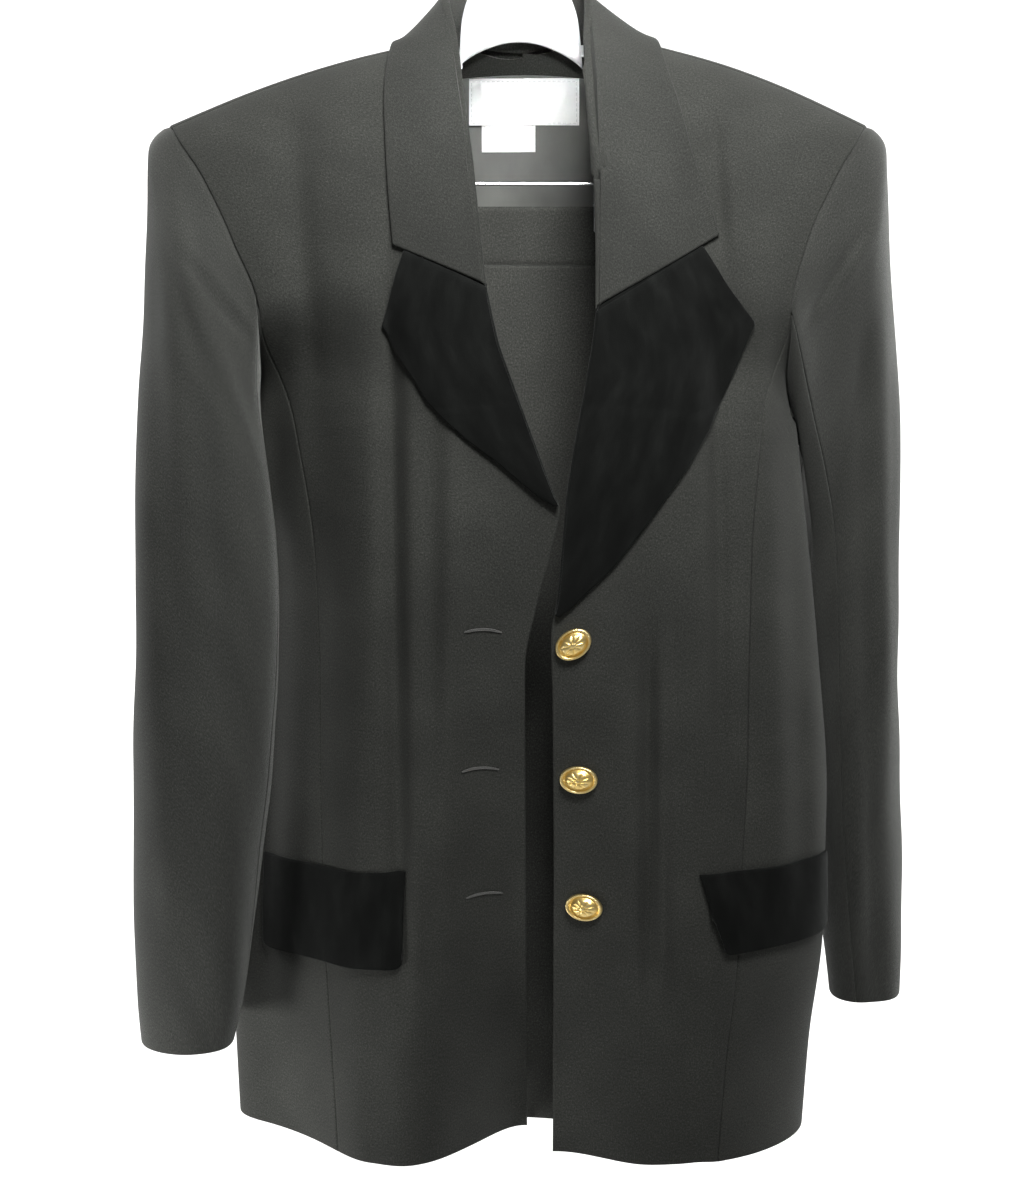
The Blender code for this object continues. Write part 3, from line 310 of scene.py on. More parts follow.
class BodyForm:
    """The surface of the jacket's body.

    a runs from the middle of the front (0) by the side (1) to the middle of the back (2), and t
    from the hem (-1) by the underarm (0) to the top of the shoulder (1).
    """

    ARMHOLE_FRONT = 0.068
    ARMHOLE_BACK = 0.056
    LEFT_MIDDLE_X = 0.030
    SHOULDER_BOW = 0.0062
    FRONT_ROUND, BACK_ROUND = 2.3, 2.6
    HOLLOW = 0.52
    TURN_REACH = 0.045
    SOFT_REACH = 0.075
    SOFT_SHARES = {-1.0: 0.10, -0.5: 0.20, 0.0: 0.40, 0.5: 0.20, 1.0: 0.10}
    STEP = 0.012

    def boundary(self, side: Side, t: Array, front: Array) -> Array:
        """Side seam below the underarm and armhole seam above it.

        Args:
            side: Side of the garment.
            t: Places along the seam.
            front: True for the front half of the armhole.

        Returns:
            Points of the seam.
        """
        t = np.asarray(t, float)
        low_z = ARMHOLE_LOW_Z + (ARMHOLE_LOW_Z - HEM_Z) * t
        rise = ease(0.0, 0.28, t)
        reach = np.where(front, -self.ARMHOLE_FRONT, self.ARMHOLE_BACK)
        base_y = BODY.read(side.word + "_y", ARMHOLE_LOW_Z)
        ahead, behind = ARMHOLE.read(side.word, t), ARMHOLE.read("back_" + side.word, t)
        high_x = np.where(front, ahead, behind)
        high_y = base_y * (1 - rise) + reach * rise * np.maximum(np.cos(t * HALF_TURN), 0) ** 0.9
        high_z = ARMHOLE_LOW_Z + (ARMHOLE_TOP_Z - ARMHOLE_LOW_Z) * np.sin(t * HALF_TURN)
        below = t <= 0
        return np.stack(
            [
                np.where(below, BODY.read(side.word, low_z), high_x),
                np.where(below, BODY.read(side.word + "_y", low_z), high_y),
                np.where(below, low_z, high_z),
            ],
            -1,
        )

    def middle_x(self, side: Side, front: Array) -> Array:
        """Width at which a section starts, in the middle of the front or the back."""
        return np.where(front, self.LEFT_MIDDLE_X if side is Side.LEFT else 0.0, MIDDLE_BACK_X)

    def fold_depth(self, x: Array, z: Array, front: Array) -> Array:
        """Adds up the depths of all the folds and creases.

        Args:
            x: Widths.
            z: Heights.
            front: True on the front.

        Returns:
            The depth at each place.
        """
        ahead = sum(fold.depth_at(x, z) for fold in FRONT_FOLDS + FRONT_CREASES)
        behind = sum(fold.depth_at(x, z) for fold in BACK_FOLDS + BACK_CREASES)
        return np.where(front, ahead + ripple(x, 0 * x, z, 0.4), behind + ripple(x, 0 * x, z, 2.0))

    def place(self, side: Side, a: Array, t: Array) -> Array:
        """Points of the body surface.

        Args:
            side: Side of the garment.
            a: Places round the body.
            t: Places up the body.

        Returns:
            A point for each place.
        """
        a, t = np.broadcast_arrays(np.asarray(a, float), np.asarray(t, float))
        over = t > 1
        t = np.where(over, 2 - t, t)
        front = a <= 1
        edge = self.boundary(side, t, front)
        across = np.sin(a * HALF_TURN)
        x = edge[..., 0] * across + self.middle_x(side, front) * (1 - across)
        below = UNDERARM_Z + (UNDERARM_Z - HEM_Z) * t
        above = UNDERARM_Z + (RIDGE_Z - UNDERARM_Z) * np.sin(t * HALF_TURN)
        middle_z = np.where(t <= 0, below, above)
        z = middle_z + (edge[..., 2] - middle_z) * across
        start = self.middle_x(side, front)
        top = start + (self.middle_x(side, True) - start) * ease(0.45, 1.0, t)
        rise = np.clip((x - top) / (edge[..., 0] - top), 0, 1)
        z = np.where(front, z, middle_z + (edge[..., 2] - middle_z) * rise)
        along = np.clip((np.where(front, across, rise) - 0.3) / 0.7, 0, 1)
        bow = self.SHOULDER_BOW * np.sin(math.pi * along)
        z = z + np.where(t > 0, bow * ease(0.3, 1.0, t), 0.0)
        low = np.minimum(z, UNDERARM_Z)
        depth = np.where(front, BODY.read("front", low), BODY.read("back", low))
        top = np.where(front, BODY.read("front", UNDERARM_Z), BODY.read("back", UNDERARM_Z))
        depth = np.where(t > 0, top * np.cos(t * HALF_TURN), depth)
        turn = 0.5 + 0.5 * ease(0.0, 0.26, t)
        power = np.where(front, self.FRONT_ROUND, self.BACK_ROUND)
        shape = np.maximum(1 - np.abs(across) ** power, 0) ** turn
        if side is Side.LEFT:
            hollow = 1 - self.HOLLOW * ease(0.58, 0.92, across) * (1 - ease(-0.30, 0.80, t))
            shape = np.where(front, shape * hollow, shape)
        reach = np.where(front, -depth, depth)
        y = edge[..., 1] + (reach - edge[..., 1]) * shape
        away = (x - EDGES[side].read("x", z)) / self.TURN_REACH
        turned = BODY.read("turn_" + side.word, low) * np.exp(-away * away)
        y = y + np.where(front, turned * (1 - ease(-0.42, -0.34, z)), 0.0)
        y = y + np.where(front, 1, -1) * self.fold_depth(x, z, front) * ease(0.0, 0.3, shape)
        return np.stack([x, np.where(over, -y, y), z], -1)

    def place_soft(self, side: Side, a: Array, t: Array) -> Array:
        """Points as place() gives them, evened out at the level of the underarm.

        Args:
            side: Side of the garment.
            a: Places round the body.
            t: Places up the body.

        Returns:
            A point for each place.
        """
        a, t = np.broadcast_arrays(np.asarray(a, float), np.asarray(t, float))
        reach = self.SOFT_REACH * np.exp(-((t / 0.13) ** 2)) * ease(0.02, 0.16, np.abs(a - 1))
        return sum(f * self.place(side, a, t + reach * k) for k, f in self.SOFT_SHARES.items())

    def outward(self, side: Side, a: Array, t: Array) -> Array:
        """Outward directions of the body surface, one-sided at the armhole.

        Args:
            side: Side of the garment.
            a: Places round the body.
            t: Places up the body.

        Returns:
            A direction for each place.
        """
        a, t = np.broadcast_arrays(np.asarray(a, float), np.asarray(t, float))
        step = self.STEP
        a0, a1 = a - step, a + step
        ahead = a <= 1
        high = t > 0
        a0 = np.where(high & ahead, np.minimum(a0, 1 - step), a0)
        a1 = np.where(high & ahead, np.minimum(a1, 1.0), a1)
        a0 = np.where(high & ~ahead, np.maximum(a0, BACK_OF_SIDE), a0)
        a1 = np.where(high & ~ahead, np.maximum(a1, 1 + step), a1)
        past = a1 > 2
        a0, a1 = np.where(past, 2 - 2 * step, a0), np.where(past, 2.0, a1)
        t0, t1 = np.maximum(t - step, -1.0), t + step
        corner = (t <= 0) & (t1 > 0) & (np.abs(a - 1) < 0.2)
        t0, t1 = np.where(corner, t - step, t0), np.where(corner, t, t1)
        along = self.place(side, a, t1) - self.place(side, a, t0)
        over = self.place(side, a1, t) - self.place(side, a0, t)
        out = np.cross(over, along)
        out[..., 0] = np.where(a > 2 - 1e-6, 0.0, out[..., 0])
        return unit(out) * side.sign

    def armhole_outward(self, side: Side, t: Array, front: Array, own: Array) -> Array:
        """Directions across the armhole seam: shared high up, each piece's own low down.

        Args:
            side: Side of the garment.
            t: Places up the armhole.
            front: True on its front half.
            own: The piece's own directions.

        Returns:
            A direction for each place.
        """
        angle = math.pi * (1 - np.asarray(t, float))
        ahead = np.where(front, -np.sin(angle), np.sin(angle))
        shared = unit(np.stack([side.sign * 0.25 * np.sin(angle), ahead, np.cos(angle)], -1))
        share = ease(0.26, 0.50, t)[..., None]
        return unit(shared * share + own * (1 - share))

    def edge_outward(self, side: Side, a: Array, t: Array) -> Array:
        """Outward directions, with the shared ones along the armhole seam.

        Args:
            side: Side of the garment.
            a: Places round the body.
            t: Places up the body.

        Returns:
            A direction for each place.
        """
        a, t = np.broadcast_arrays(np.asarray(a, float), np.asarray(t, float))
        own = self.outward(side, a, t)
        seam = (np.abs(a - 1) < 1e-6) & (t >= 0)
        return np.where(seam[..., None], self.armhole_outward(side, t, a <= 1, own), own)

    def across(self, side: Side, x: Array, t: Array, front: Array) -> Array:
        """Finds the a of the surface at given widths.

        Args:
            side: Side of the garment.
            x: Widths.
            t: Places up the body.
            front: True on the front.

        Returns:
            The a of each place.
        """
        edge = self.boundary(side, t, front)[..., 0]
        middle = self.middle_x(side, front)
        a = np.arcsin(np.clip((x - middle) / (edge - middle), -0.3, 1.0)) / HALF_TURN
        return np.where(front, a, 2 - a)

    def find(self, side: Side, x: Array, z: Array, front: Array) -> tuple[Array, Array]:
        """The a and t of the surface at given widths and heights.

        Args:
            side: Side of the garment.
            x: Widths.
            z: Heights.
            front: True on the front.

        Returns:
            a and t of each place.
        """
        x, z, front = np.broadcast_arrays(x, z, front)
        low, high = np.full(x.shape, -1.0), np.full(x.shape, 1.0)
        for _ in range(34):
            t = (low + high) / 2
            a = self.across(side, x, t, front)
            under = self.place(side, a, t)[..., 2] < z
            low, high = np.where(under, t, low), np.where(under, high, t)
        return a, t

    def on(self, side: Side, x: Array, z: Array, front: Array, lift: Array = 0.0) -> Array:
        """Points at given widths and heights, lifted off the cloth.

        Args:
            side: Side of the garment.
            x: Widths.
            z: Heights.
            front: True on the front.
            lift: Distance off the cloth.

        Returns:
            A point for each place.
        """
        a, t = self.find(side, x, z, front)
        lift = np.broadcast_to(lift, a.shape)[..., None]
        return self.place(side, a, t) + lift * self.outward(side, a, t)

    def on_either(self, x: Array, z: Array, front: Array, lift: Array = 0.0) -> Array:
        """Points as on() gives them, on the side that each width lies on.

        Args:
            x: Widths.
            z: Heights.
            front: True on the front.
            lift: Distance off the cloth.

        Returns:
            A point for each place.
        """
        left = (np.asarray(x) < MIDDLE_BACK_X)[..., None]
        points = [self.on(side, x, z, front, lift) for side in (Side.LEFT, Side.RIGHT)]
        return np.where(left, points[0], points[1])

    def on_ridge(self, x: float, lift: float = 0.0) -> Array:
        """A point on the top of the shoulder, lifted off the cloth.

        Args:
            x: Its width.
            lift: Distance off the cloth.

        Returns:
            The point.
        """
        side = Side.LEFT if x < 0 else Side.RIGHT
        a = self.across(side, x, 1.0, True)
        return self.place(side, a, 1.0) + lift * self.outward(side, a, 1.0)

    def lifted_clear(self, points: Array, least: Array) -> Array:
        """Moves points off the body where they are too close to it.

        Args:
            points: The points.
            least: Least distance off the body, for each.

        Returns:
            The moved points.
        """
        moved = points.copy()
        for side in Side:
            for front in (True, False):
                on_side = points[..., 0] < MIDDLE_BACK_X
                chosen = on_side if side is Side.LEFT else ~on_side
                chosen = chosen & ((points[..., 1] < 0) == front)
                some = points[chosen]
                if not len(some):
                    continue
                a, t = self.find(side, some[:, 0], some[:, 2], front)
                out = self.outward(side, a, t)
                off = np.sum((some - self.place(side, a, t)) * out, axis=-1)
                gap = least[chosen]
                wanted = (off + gap + np.sqrt((off - gap) ** 2 + 1e-6)) / 2
                moved[chosen] = some + out * (wanted - off)[:, None]
        return moved


FORM = BodyForm()


# Meshes

# Distances from an edge of the cloth at which extra lines of points lie, to carry its roll.
EDGE_LINES = np.array([0.0003, 0.0008, 0.0015, 0.0026])
# Edges that turn more than this stay crisp.
SHARP = math.radians(72)


def lines(count: int, length: float) -> Array:
    """Places across a piece from 0 to 1, closer together within 3 mm of both ends.

    Args:
        count: Number of even steps.
        length: Length of the piece that way, in metres.

    Returns:
        Rising places from 0 to 1.
    """
    margin = EDGE_LINES / length
    even = np.linspace(0.0, 1.0, count)
    even = even[(even > 1.5 * margin[-1]) & (even < 1 - 1.5 * margin[-1])]
    return np.concatenate([[0.0], margin, even, 1 - margin[::-1], [1.0]])


def grid_outward(points: Array, flip: float = 1.0) -> Array:
    """Outward directions of a grid of points, from the points themselves."""
    return unit(np.cross(np.gradient(points, axis=1), np.gradient(points, axis=0))) * flip


def lengths_along(points: Array, axis: int) -> Array:
    """Measures along the cloth from the first line of a grid of points.

    Args:
        points: The grid.
        axis: Axis of the grid to measure along.

    Returns:
        The distance of each point.
    """
    step = np.linalg.norm(np.diff(points, axis=axis), axis=2)
    start = np.zeros_like(np.take(step, [0], axis=axis))
    return np.concatenate([start, np.cumsum(step, axis=axis)], axis=axis)


def new_mesh(name: str, points: Array, faces: Faces, material: Material) -> Piece:
    """Makes a smooth mesh piece in the scene.

    Args:
        name: Name of the piece.
        points: Its points.
        faces: Its faces, as rows of point numbers.
        material: Its finish.

    Returns:
        The new piece.
    """
    mesh = bpy.data.meshes.new(name)
    mesh.from_pydata(np.asarray(points, float).reshape(-1, 3).tolist(), [], faces)
    mesh.materials.append(material)
    mesh.shade_smooth()
    mesh.set_sharp_from_angle(angle=SHARP)
    mesh.update()
    piece = bpy.data.objects.new(name, mesh)
    bpy.context.scene.collection.objects.link(piece)
    return piece


def ring_faces(rows: int, columns: int) -> Faces:
    """Faces of a closed body whose points lie in rings, with a cap at each end.

    Args:
        rows: Number of rings.
        columns: Points in each.

    Returns:
        The faces.
    """
    index = np.arange(rows * columns).reshape(rows, columns)
    after = np.roll(index, -1, axis=1)
    faces = np.stack([index[:-1], after[:-1], after[1:], index[1:]], -1).reshape(-1, 4)
    return faces.tolist() + [index[0, ::-1].tolist(), index[-1].tolist()]


@dataclass
class Shell:
    """A thin closed wall of cloth on a grid of points, with rolled edges."""

    name: str
    outer: Array
    outward: Array
    thick: float
    material: Material
    ring: bool = False
    roll: float = 0.62
    hold: Hold = Hold.HUNG

    def rolled(self) -> Array:
        """Rolls the edges of the cloth's face back over its thickness.

        Returns:
            Points of the face.
        """
        if self.ring:
            return self.outer
        reach = self.thick * 1.1
        down, over = lengths_along(self.outer, 0), lengths_along(self.outer, 1)
        near = np.minimum.reduce([down, down[-1:] - down, over, over[:, -1:] - over])
        f = np.clip(1 - near / reach, 0, 1)
        drop = self.roll * self.thick * (1 - np.sqrt(1 - f * f))
        return self.outer - self.outward * drop[..., None]

    def faces(self, rows: int, columns: int) -> Faces:
        """Faces of both sides and of the edges between them.

        Args:
            rows: Lines of points down the cloth.
            columns: Points in each.

        Returns:
            The faces.
        """
        index = np.arange(rows * columns).reshape(rows, columns)
        if self.ring:
            index = np.concatenate([index, index[:, :1]], axis=1)
        back = rows * columns
        quad = [index[:-1, :-1], index[:-1, 1:], index[1:, 1:], index[1:, :-1]]
        front_faces = np.stack(quad, -1).reshape(-1, 4)
        rims = [(index[0, 1:], index[0, :-1]), (index[-1, :-1], index[-1, 1:])]
        if not self.ring:
            rims += [(index[:-1, 0], index[1:, 0]), (index[1:, -1], index[:-1, -1])]
        rim_faces = [np.stack([a, b, b + back, a + back], -1) for a, b in rims]
        return np.concatenate([front_faces, front_faces[:, ::-1] + back, *rim_faces]).tolist()

    def build(self) -> Piece:
        """Makes the shell's mesh, with the places along its grain kept on its points.

        Returns:
            The new piece.
        """
        outer = self.rolled()
        rows, columns = outer.shape[:2]
        inner = self.outer - self.outward * self.thick
        faces = self.faces(rows, columns)
        row, column = rows // 2, columns // 2
        here, beside, below = outer[row, column], outer[row, column + 1], outer[row + 1, column]
        if np.dot(np.cross(beside - here, below - here), self.outward[row, column]) < 0:
            faces = [face[::-1] for face in faces]
        piece = new_mesh(self.name, np.stack([outer, inner]), faces, self.material)
        down, over = lengths_along(self.outer, 0), lengths_along(self.outer, 1)
        over = over - over[:, column : column + 1]
        edge = np.minimum(down, down[-1:] - down)
        grain = np.stack([over, down, edge], -1)
        attribute = piece.data.attributes.new("grain", "FLOAT_VECTOR", "POINT")
        both = np.concatenate([grain.reshape(-1, 3), grain.reshape(-1, 3)])
        attribute.data.foreach_set("vector", both.astype(np.float32).ravel())
        return piece

    def flat(self) -> tuple[tuple[float, float], float]:
        """Measures the cut along the cloth.

        Returns:
            Its width and length, then its area.
        """
        closed = np.concatenate([self.outer, self.outer[:, :1]], 1) if self.ring else self.outer
        down, over = lengths_along(closed, 0), lengths_along(closed, 1)
        a, b = closed[1:, 1:] - closed[:-1, :-1], closed[1:, :-1] - closed[:-1, 1:]
        area = float(np.linalg.norm(np.cross(a, b), axis=2).sum() / 2)
        width, length = float(over[:, -1].max()), float(down[-1].max())
        area = min(area, width * length)
        return (round(width, 4), round(length, 4)), round(area, 5)


def put_on(piece: Piece, nodes: tuple[str, ...] = ()) -> Piece:
    """Lets a piece ride with the part, and stand for the solids it takes the place of.

    Args:
        piece: The piece.
        nodes: Solids that it stands for.

    Returns:
        The same piece.
    """
    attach(piece, "root")
    if nodes:
        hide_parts(*nodes)
    LOG.info("%s: %d points", piece.name, len(piece.data.vertices))
    return piece


def put_on_cloth(shell: Shell, node: str) -> Piece:
    """Builds a shell of cloth and puts it on.

    Args:
        shell: The shell.
        node: Solid that it stands for.

    Returns:
        The new piece.
    """
    piece = put_on(shell.build(), (node,) if node else ())
    return piece


# Finishes


class Paint:
    """A material's nodes, put together step by step."""

    def __init__(self, name: str) -> None:
        """Starts a material with its shader.

        Args:
            name: Name of the material.
        """
        self.material = bpy.data.materials.new(name)
        self.material.use_nodes = True
        self.tree = self.material.node_tree
        self.shader = self.tree.nodes["Principled BSDF"]

    def node(self, kind: str, **settings: object) -> bpy.types.Node:
        """Adds a node.

        Args:
            kind: Kind of node.
            settings: Values of its fields.

        Returns:
            The new node.
        """
        made = self.tree.nodes.new(kind)
        for name, value in settings.items():
            setattr(made, name, value)
        return made

    def link(self, source: Socket, target: Socket) -> None:
        """Joins two sockets."""
        self.tree.links.new(source, target)

    def maths(self, operation: str, first: Socket, second: Socket | float) -> Socket:
        """Works out a sum.

        Args:
            operation: Kind of sum.
            first: Its first value.
            second: Its second value.

        Returns:
            The result.
        """
        made = self.node("ShaderNodeMath", operation=operation)
        for socket, value in zip(made.inputs, (first, second)):
            if isinstance(value, Socket):
                self.link(value, socket)
            else:
                socket.default_value = value
        return made.outputs[0]

    def mapped(self, source: Socket, scale: Place, turn: float = 0.0) -> Socket:
        """Scales and turns places.

        Args:
            source: The places.
            scale: Scale along each axis.
            turn: Angle to turn them by.

        Returns:
            The new places.
        """
        place = self.node("ShaderNodeMapping")
        place.inputs["Scale"].default_value = scale
        place.inputs["Rotation"].default_value = (0.0, 0.0, turn)
        self.link(source, place.inputs["Vector"])
        return place.outputs[0]

    def grain(self, scale: Place = (1.0, 1.0, 0.0), turn: float = 0.0) -> Socket:
        """Places along the cloth's own threads, scaled and turned."""
        source = self.node("ShaderNodeAttribute", attribute_name="grain")
        return self.mapped(source.outputs["Vector"], scale, turn)

    def body_place(self, scale: Place = (1.0, 1.0, 1.0)) -> Socket:
        """Places in the object itself, scaled."""
        return self.mapped(self.node("ShaderNodeTexCoord").outputs["Object"], scale)

    def noise(
        self, place: Socket, scale: float, detail: float = 3.0, rough: float = 0.6
    ) -> Socket:
        """Makes a cloudy pattern from 0 to 1.

        Args:
            place: Places that it is read at.
            scale: How many clouds go to a metre.
            detail: How many finer patterns are added.
            rough: How strong the finer ones are.

        Returns:
            The pattern.
        """
        made = self.node("ShaderNodeTexNoise")
        made.inputs["Scale"].default_value = scale
        made.inputs["Detail"].default_value = detail
        made.inputs["Roughness"].default_value = rough
        self.link(place, made.inputs["Vector"])
        return made.outputs[0]

    def bands(self, place: Socket, pitch: float, warp: float) -> Socket:
        """Makes stripes along the first axis, from 0 to 1.

        Args:
            place: Places that they are read at.
            pitch: Distance between two, in metres.
            warp: How uneven they are.

        Returns:
            The pattern.
        """
        made = self.node("ShaderNodeTexWave", wave_type="BANDS", bands_direction="X")
        made.inputs["Scale"].default_value = 1 / (pitch * 3.1831)
        made.inputs["Distortion"].default_value = warp
        made.inputs["Detail"].default_value = 1.0
        self.link(place, made.inputs["Vector"])
        return made.outputs["Fac"]

    def sum_of(self, *shares: tuple[Socket, float]) -> Socket:
        """Adds patterns together.

        Args:
            shares: Each pattern with its share.

        Returns:
            The sum.
        """
        parts = [self.maths("MULTIPLY", value, share) for value, share in shares]
        total = parts[0]
        for part in parts[1:]:
            total = self.maths("ADD", total, part)
        return total

    def colour(self, value: Socket, *stops: tuple[float, Colour]) -> None:
        """Colours the surface by a pattern.

        Args:
            value: The pattern.
            stops: Colours at rising values of it.
        """
        made = self.node("ShaderNodeValToRGB")
        band = made.color_ramp
        while len(band.elements) < len(stops):
            band.elements.new(0.5)
        for element, (at, colour) in zip(band.elements, stops):
            element.position = at
            element.color = (*colour, 1.0)
        self.link(value, made.inputs["Fac"])
        self.link(made.outputs["Color"], self.shader.inputs["Base Color"])

    def roughness(self, value: Socket, low: float, high: float) -> None:
        """Roughens the surface by a pattern.

        Args:
            value: The pattern.
            low: Roughness where it is 0.
            high: Roughness where it is 1.
        """
        made = self.node("ShaderNodeMapRange")
        made.inputs["To Min"].default_value = low
        made.inputs["To Max"].default_value = high
        self.link(value, made.inputs["Value"])
        self.link(made.outputs[0], self.shader.inputs["Roughness"])

    def bump(self, height: Socket, metres: float, strength: float) -> None:
        """Raises the surface by a pattern, on top of what is there.

        Args:
            height: The pattern.
            metres: Height where it is 1.
            strength: How much of it shows.
        """
        made = self.node("ShaderNodeBump")
        made.inputs["Strength"].default_value = strength
        made.inputs["Distance"].default_value = metres
        self.link(height, made.inputs["Height"])
        normal = self.shader.inputs["Normal"]
        if normal.links:
            self.link(normal.links[0].from_socket, made.inputs["Normal"])
        self.link(made.outputs["Normal"], normal)

    def set(self, **values: object) -> None:
        """Sets the shader's own sockets by name, with _ for a space."""
        for name, value in values.items():
            self.shader.inputs[name.replace("_", " ")].default_value = value


def tinted(colour: Colour, times: float) -> Colour:
    """A colour made darker or lighter."""
    return tuple(c * times for c in colour)


@dataclass(frozen=True)
class WoolFinish:
    """Fine worsted wool twill with a soft surface."""

    name: str
    colour: Colour = (0.0272, 0.0282, 0.0250)
    sheen: float = 0.04

    def make(self) -> Material:
        """Makes the material.

        Returns:
            The new material.
        """
        paint = Paint(self.name)
        place = paint.grain()
        twill = paint.bands(paint.grain(turn=math.radians(58)), 0.00062, 1.2)
        fibre = paint.noise(paint.grain((1.0, 0.55, 0.0)), 1500, 2.0, 0.7)
        mottle = paint.noise(place, 760, 3.0, 0.70)
        cloud = paint.noise(place, 16, 3.0, 0.5)
        mixed = paint.sum_of((fibre, 0.40), (mottle, 0.34), (cloud, 0.16), (twill, 0.10))
        stops = ((0.35, 0.36), (0.47, 0.82), (0.55, 1.24), (0.67, 2.60))
        paint.colour(mixed, *((at, tinted(self.colour, times)) for at, times in stops))
        paint.bump(twill, 0.00010, 0.55)
        paint.bump(fibre, 0.00016, 0.55)
        paint.bump(mottle, 0.00022, 0.35)
        paint.roughness(mottle, 0.78, 0.95)
        paint.set(
            Sheen_Weight=self.sheen, Sheen_Roughness=0.45, Sheen_Tint=(0.80, 0.82, 0.78, 1.0),
            Specular_IOR_Level=0.22,
        )
        return paint.material


@dataclass(frozen=True)
class VelvetFinish:
    """Black cotton velvet: a deep pile that catches light at a slant."""

    name: str = "black_velvet_pile"
    colour: Colour = (0.0070, 0.0075, 0.0070)

    def make(self) -> Material:
        """Makes the material.

        Returns:
            The new material.
        """
        paint = Paint(self.name)
        pile = paint.noise(paint.grain(), 2300, 2.0, 0.75)
        brushed = paint.noise(paint.grain((1.0, 0.35, 0.0)), 75, 3.0, 0.55)
        dark, bright = tinted(self.colour, 0.45), tinted(self.colour, 2.4)
        mixed = paint.sum_of((pile, 0.55), (brushed, 0.45))
        paint.colour(mixed, (0.30, dark), (0.52, self.colour), (0.72, bright))
        paint.bump(pile, 0.00030, 0.8)
        paint.bump(brushed, 0.00060, 0.25)
        paint.set(
            Roughness=1.0, Sheen_Weight=0.35, Sheen_Roughness=0.30,
            Sheen_Tint=(0.30, 0.31, 0.30, 1.0), Specular_IOR_Level=0.05,
        )
        return paint.material


@dataclass(frozen=True)
class SatinFinish:
    """Smooth grey lining satin with a soft gloss."""

    name: str = "grey_lining_satin"
    colour: Colour = (0.140, 0.144, 0.134)

    def make(self) -> Material:
        """Makes the material.

        Returns:
            The new material.
        """
        paint = Paint(self.name)
        thread = paint.bands(paint.grain(), 0.00045, 0.4)
        cloud = paint.noise(paint.grain((1.0, 0.5, 0.0)), 60, 3.0, 0.5)
        mixed = paint.sum_of((thread, 0.25), (cloud, 0.75))
        paint.colour(mixed, (0.2, tinted(self.colour, 0.75)), (0.8, tinted(self.colour, 1.2)))
        paint.bump(cloud, 0.0008, 0.35)
        paint.bump(thread, 0.00005, 0.3)
        paint.set(Roughness=0.42, Specular_IOR_Level=0.45, Anisotropic=0.5)
        return paint.material


@dataclass(frozen=True)
class GiltFinish:
    """Polished gilt metal, with painted shade in its hollows and a pale painted highlight on its edges."""

    name: str = "polished_gilt"
    colour: Colour = (0.96, 0.66, 0.18)

    def make(self) -> Material:
        """Makes the material.

        Returns:
            The new material.
        """
        paint = Paint(self.name)
        place = paint.body_place()
        fine = paint.noise(place, 900, 3.0, 0.6)
        patchy = paint.noise(place, 160, 2.0, 0.5)
        # Painted shade and painted highlight: read by pointiness, hollows get a dark gilt and sharp edges a
        # pale yellow-white gilt, with a random noise shifting the bounds.
        edges = paint.node("ShaderNodeNewGeometry").outputs["Pointiness"]
        high = paint.sum_of((edges, 1.6), (patchy, 0.2))
        hollow = tinted(self.colour, 0.38)
        paint.colour(high, (0.74, hollow), (0.84, self.colour), (1.00, (1.0, 0.82, 0.42)))
        paint.roughness(fine, 0.28, 0.44)
        paint.bump(fine, 0.00004, 0.25)
        paint.set(Metallic=1.0)
        return paint.material


@dataclass(frozen=True)
class PlasticFinish:
    """Clear moulded plastic with a faint cast pattern."""

    name: str = "clear_moulded_plastic"

    def make(self) -> Material:
        """Makes the material.

        Returns:
            The new material.
        """
        paint = Paint(self.name)
        place = paint.body_place((1.0, 1.0, 0.35))
        flow = paint.noise(place, 90, 4.0, 0.6)
        cast = paint.noise(place, 700, 2.0, 0.6)
        paint.colour(flow, (0.3, (0.90, 0.93, 0.95)), (0.7, (0.99, 0.99, 0.99)))
        paint.roughness(cast, 0.05, 0.16)
        paint.bump(flow, 0.0015, 0.45)
        paint.set(Transmission_Weight=0.50, IOR=1.40, Specular_IOR_Level=0.6)
        return paint.material


@dataclass(frozen=True)
class SteelFinish:
    """Bright plated wire with fine drawing lines."""

    name: str = "plated_wire"

    def make(self) -> Material:
        """Makes the material.

        Returns:
            The new material.
        """
        paint = Paint(self.name)
        drawn = paint.noise(paint.body_place((0.08, 1.0, 0.08)), 900, 2.0, 0.6)
        paint.colour(drawn, (0.3, (0.62, 0.62, 0.63)), (0.7, (0.86, 0.86, 0.87)))
        paint.roughness(drawn, 0.12, 0.30)
        paint.set(Metallic=1.0)
        return paint.material


@dataclass(frozen=True)
class ThreadFinish:
    """Twisted sewing thread."""

    name: str
    colour: Colour

    def make(self) -> Material:
        """Makes the material.

        Returns:
            The new material.
        """
        paint = Paint(self.name)
        twist = paint.noise(paint.body_place(), 1800, 2.0, 0.6)
        paint.colour(twist, (0.3, tinted(self.colour, 0.6)), (0.7, tinted(self.colour, 1.5)))
        paint.bump(twist, 0.00025, 0.7)
        paint.set(Roughness=0.75, Sheen_Weight=0.5, Sheen_Roughness=0.4)
        return paint.material


@dataclass(frozen=True)
class RibbonFinish:
    """White woven ribbon with a fine rib."""

    name: str = "white_woven_ribbon"

    def make(self) -> Material:
        """Makes the material.

        Returns:
            The new material.
        """
        paint = Paint(self.name)
        rib = paint.bands(paint.grain(), 0.0005, 0.3)
        paint.colour(rib, (0.2, (0.93, 0.94, 0.94)), (0.8, (0.99, 0.99, 0.98)))
        paint.bump(rib, 0.00006, 0.5)
        paint.set(Roughness=0.5, Specular_IOR_Level=0.4)
        return paint.material


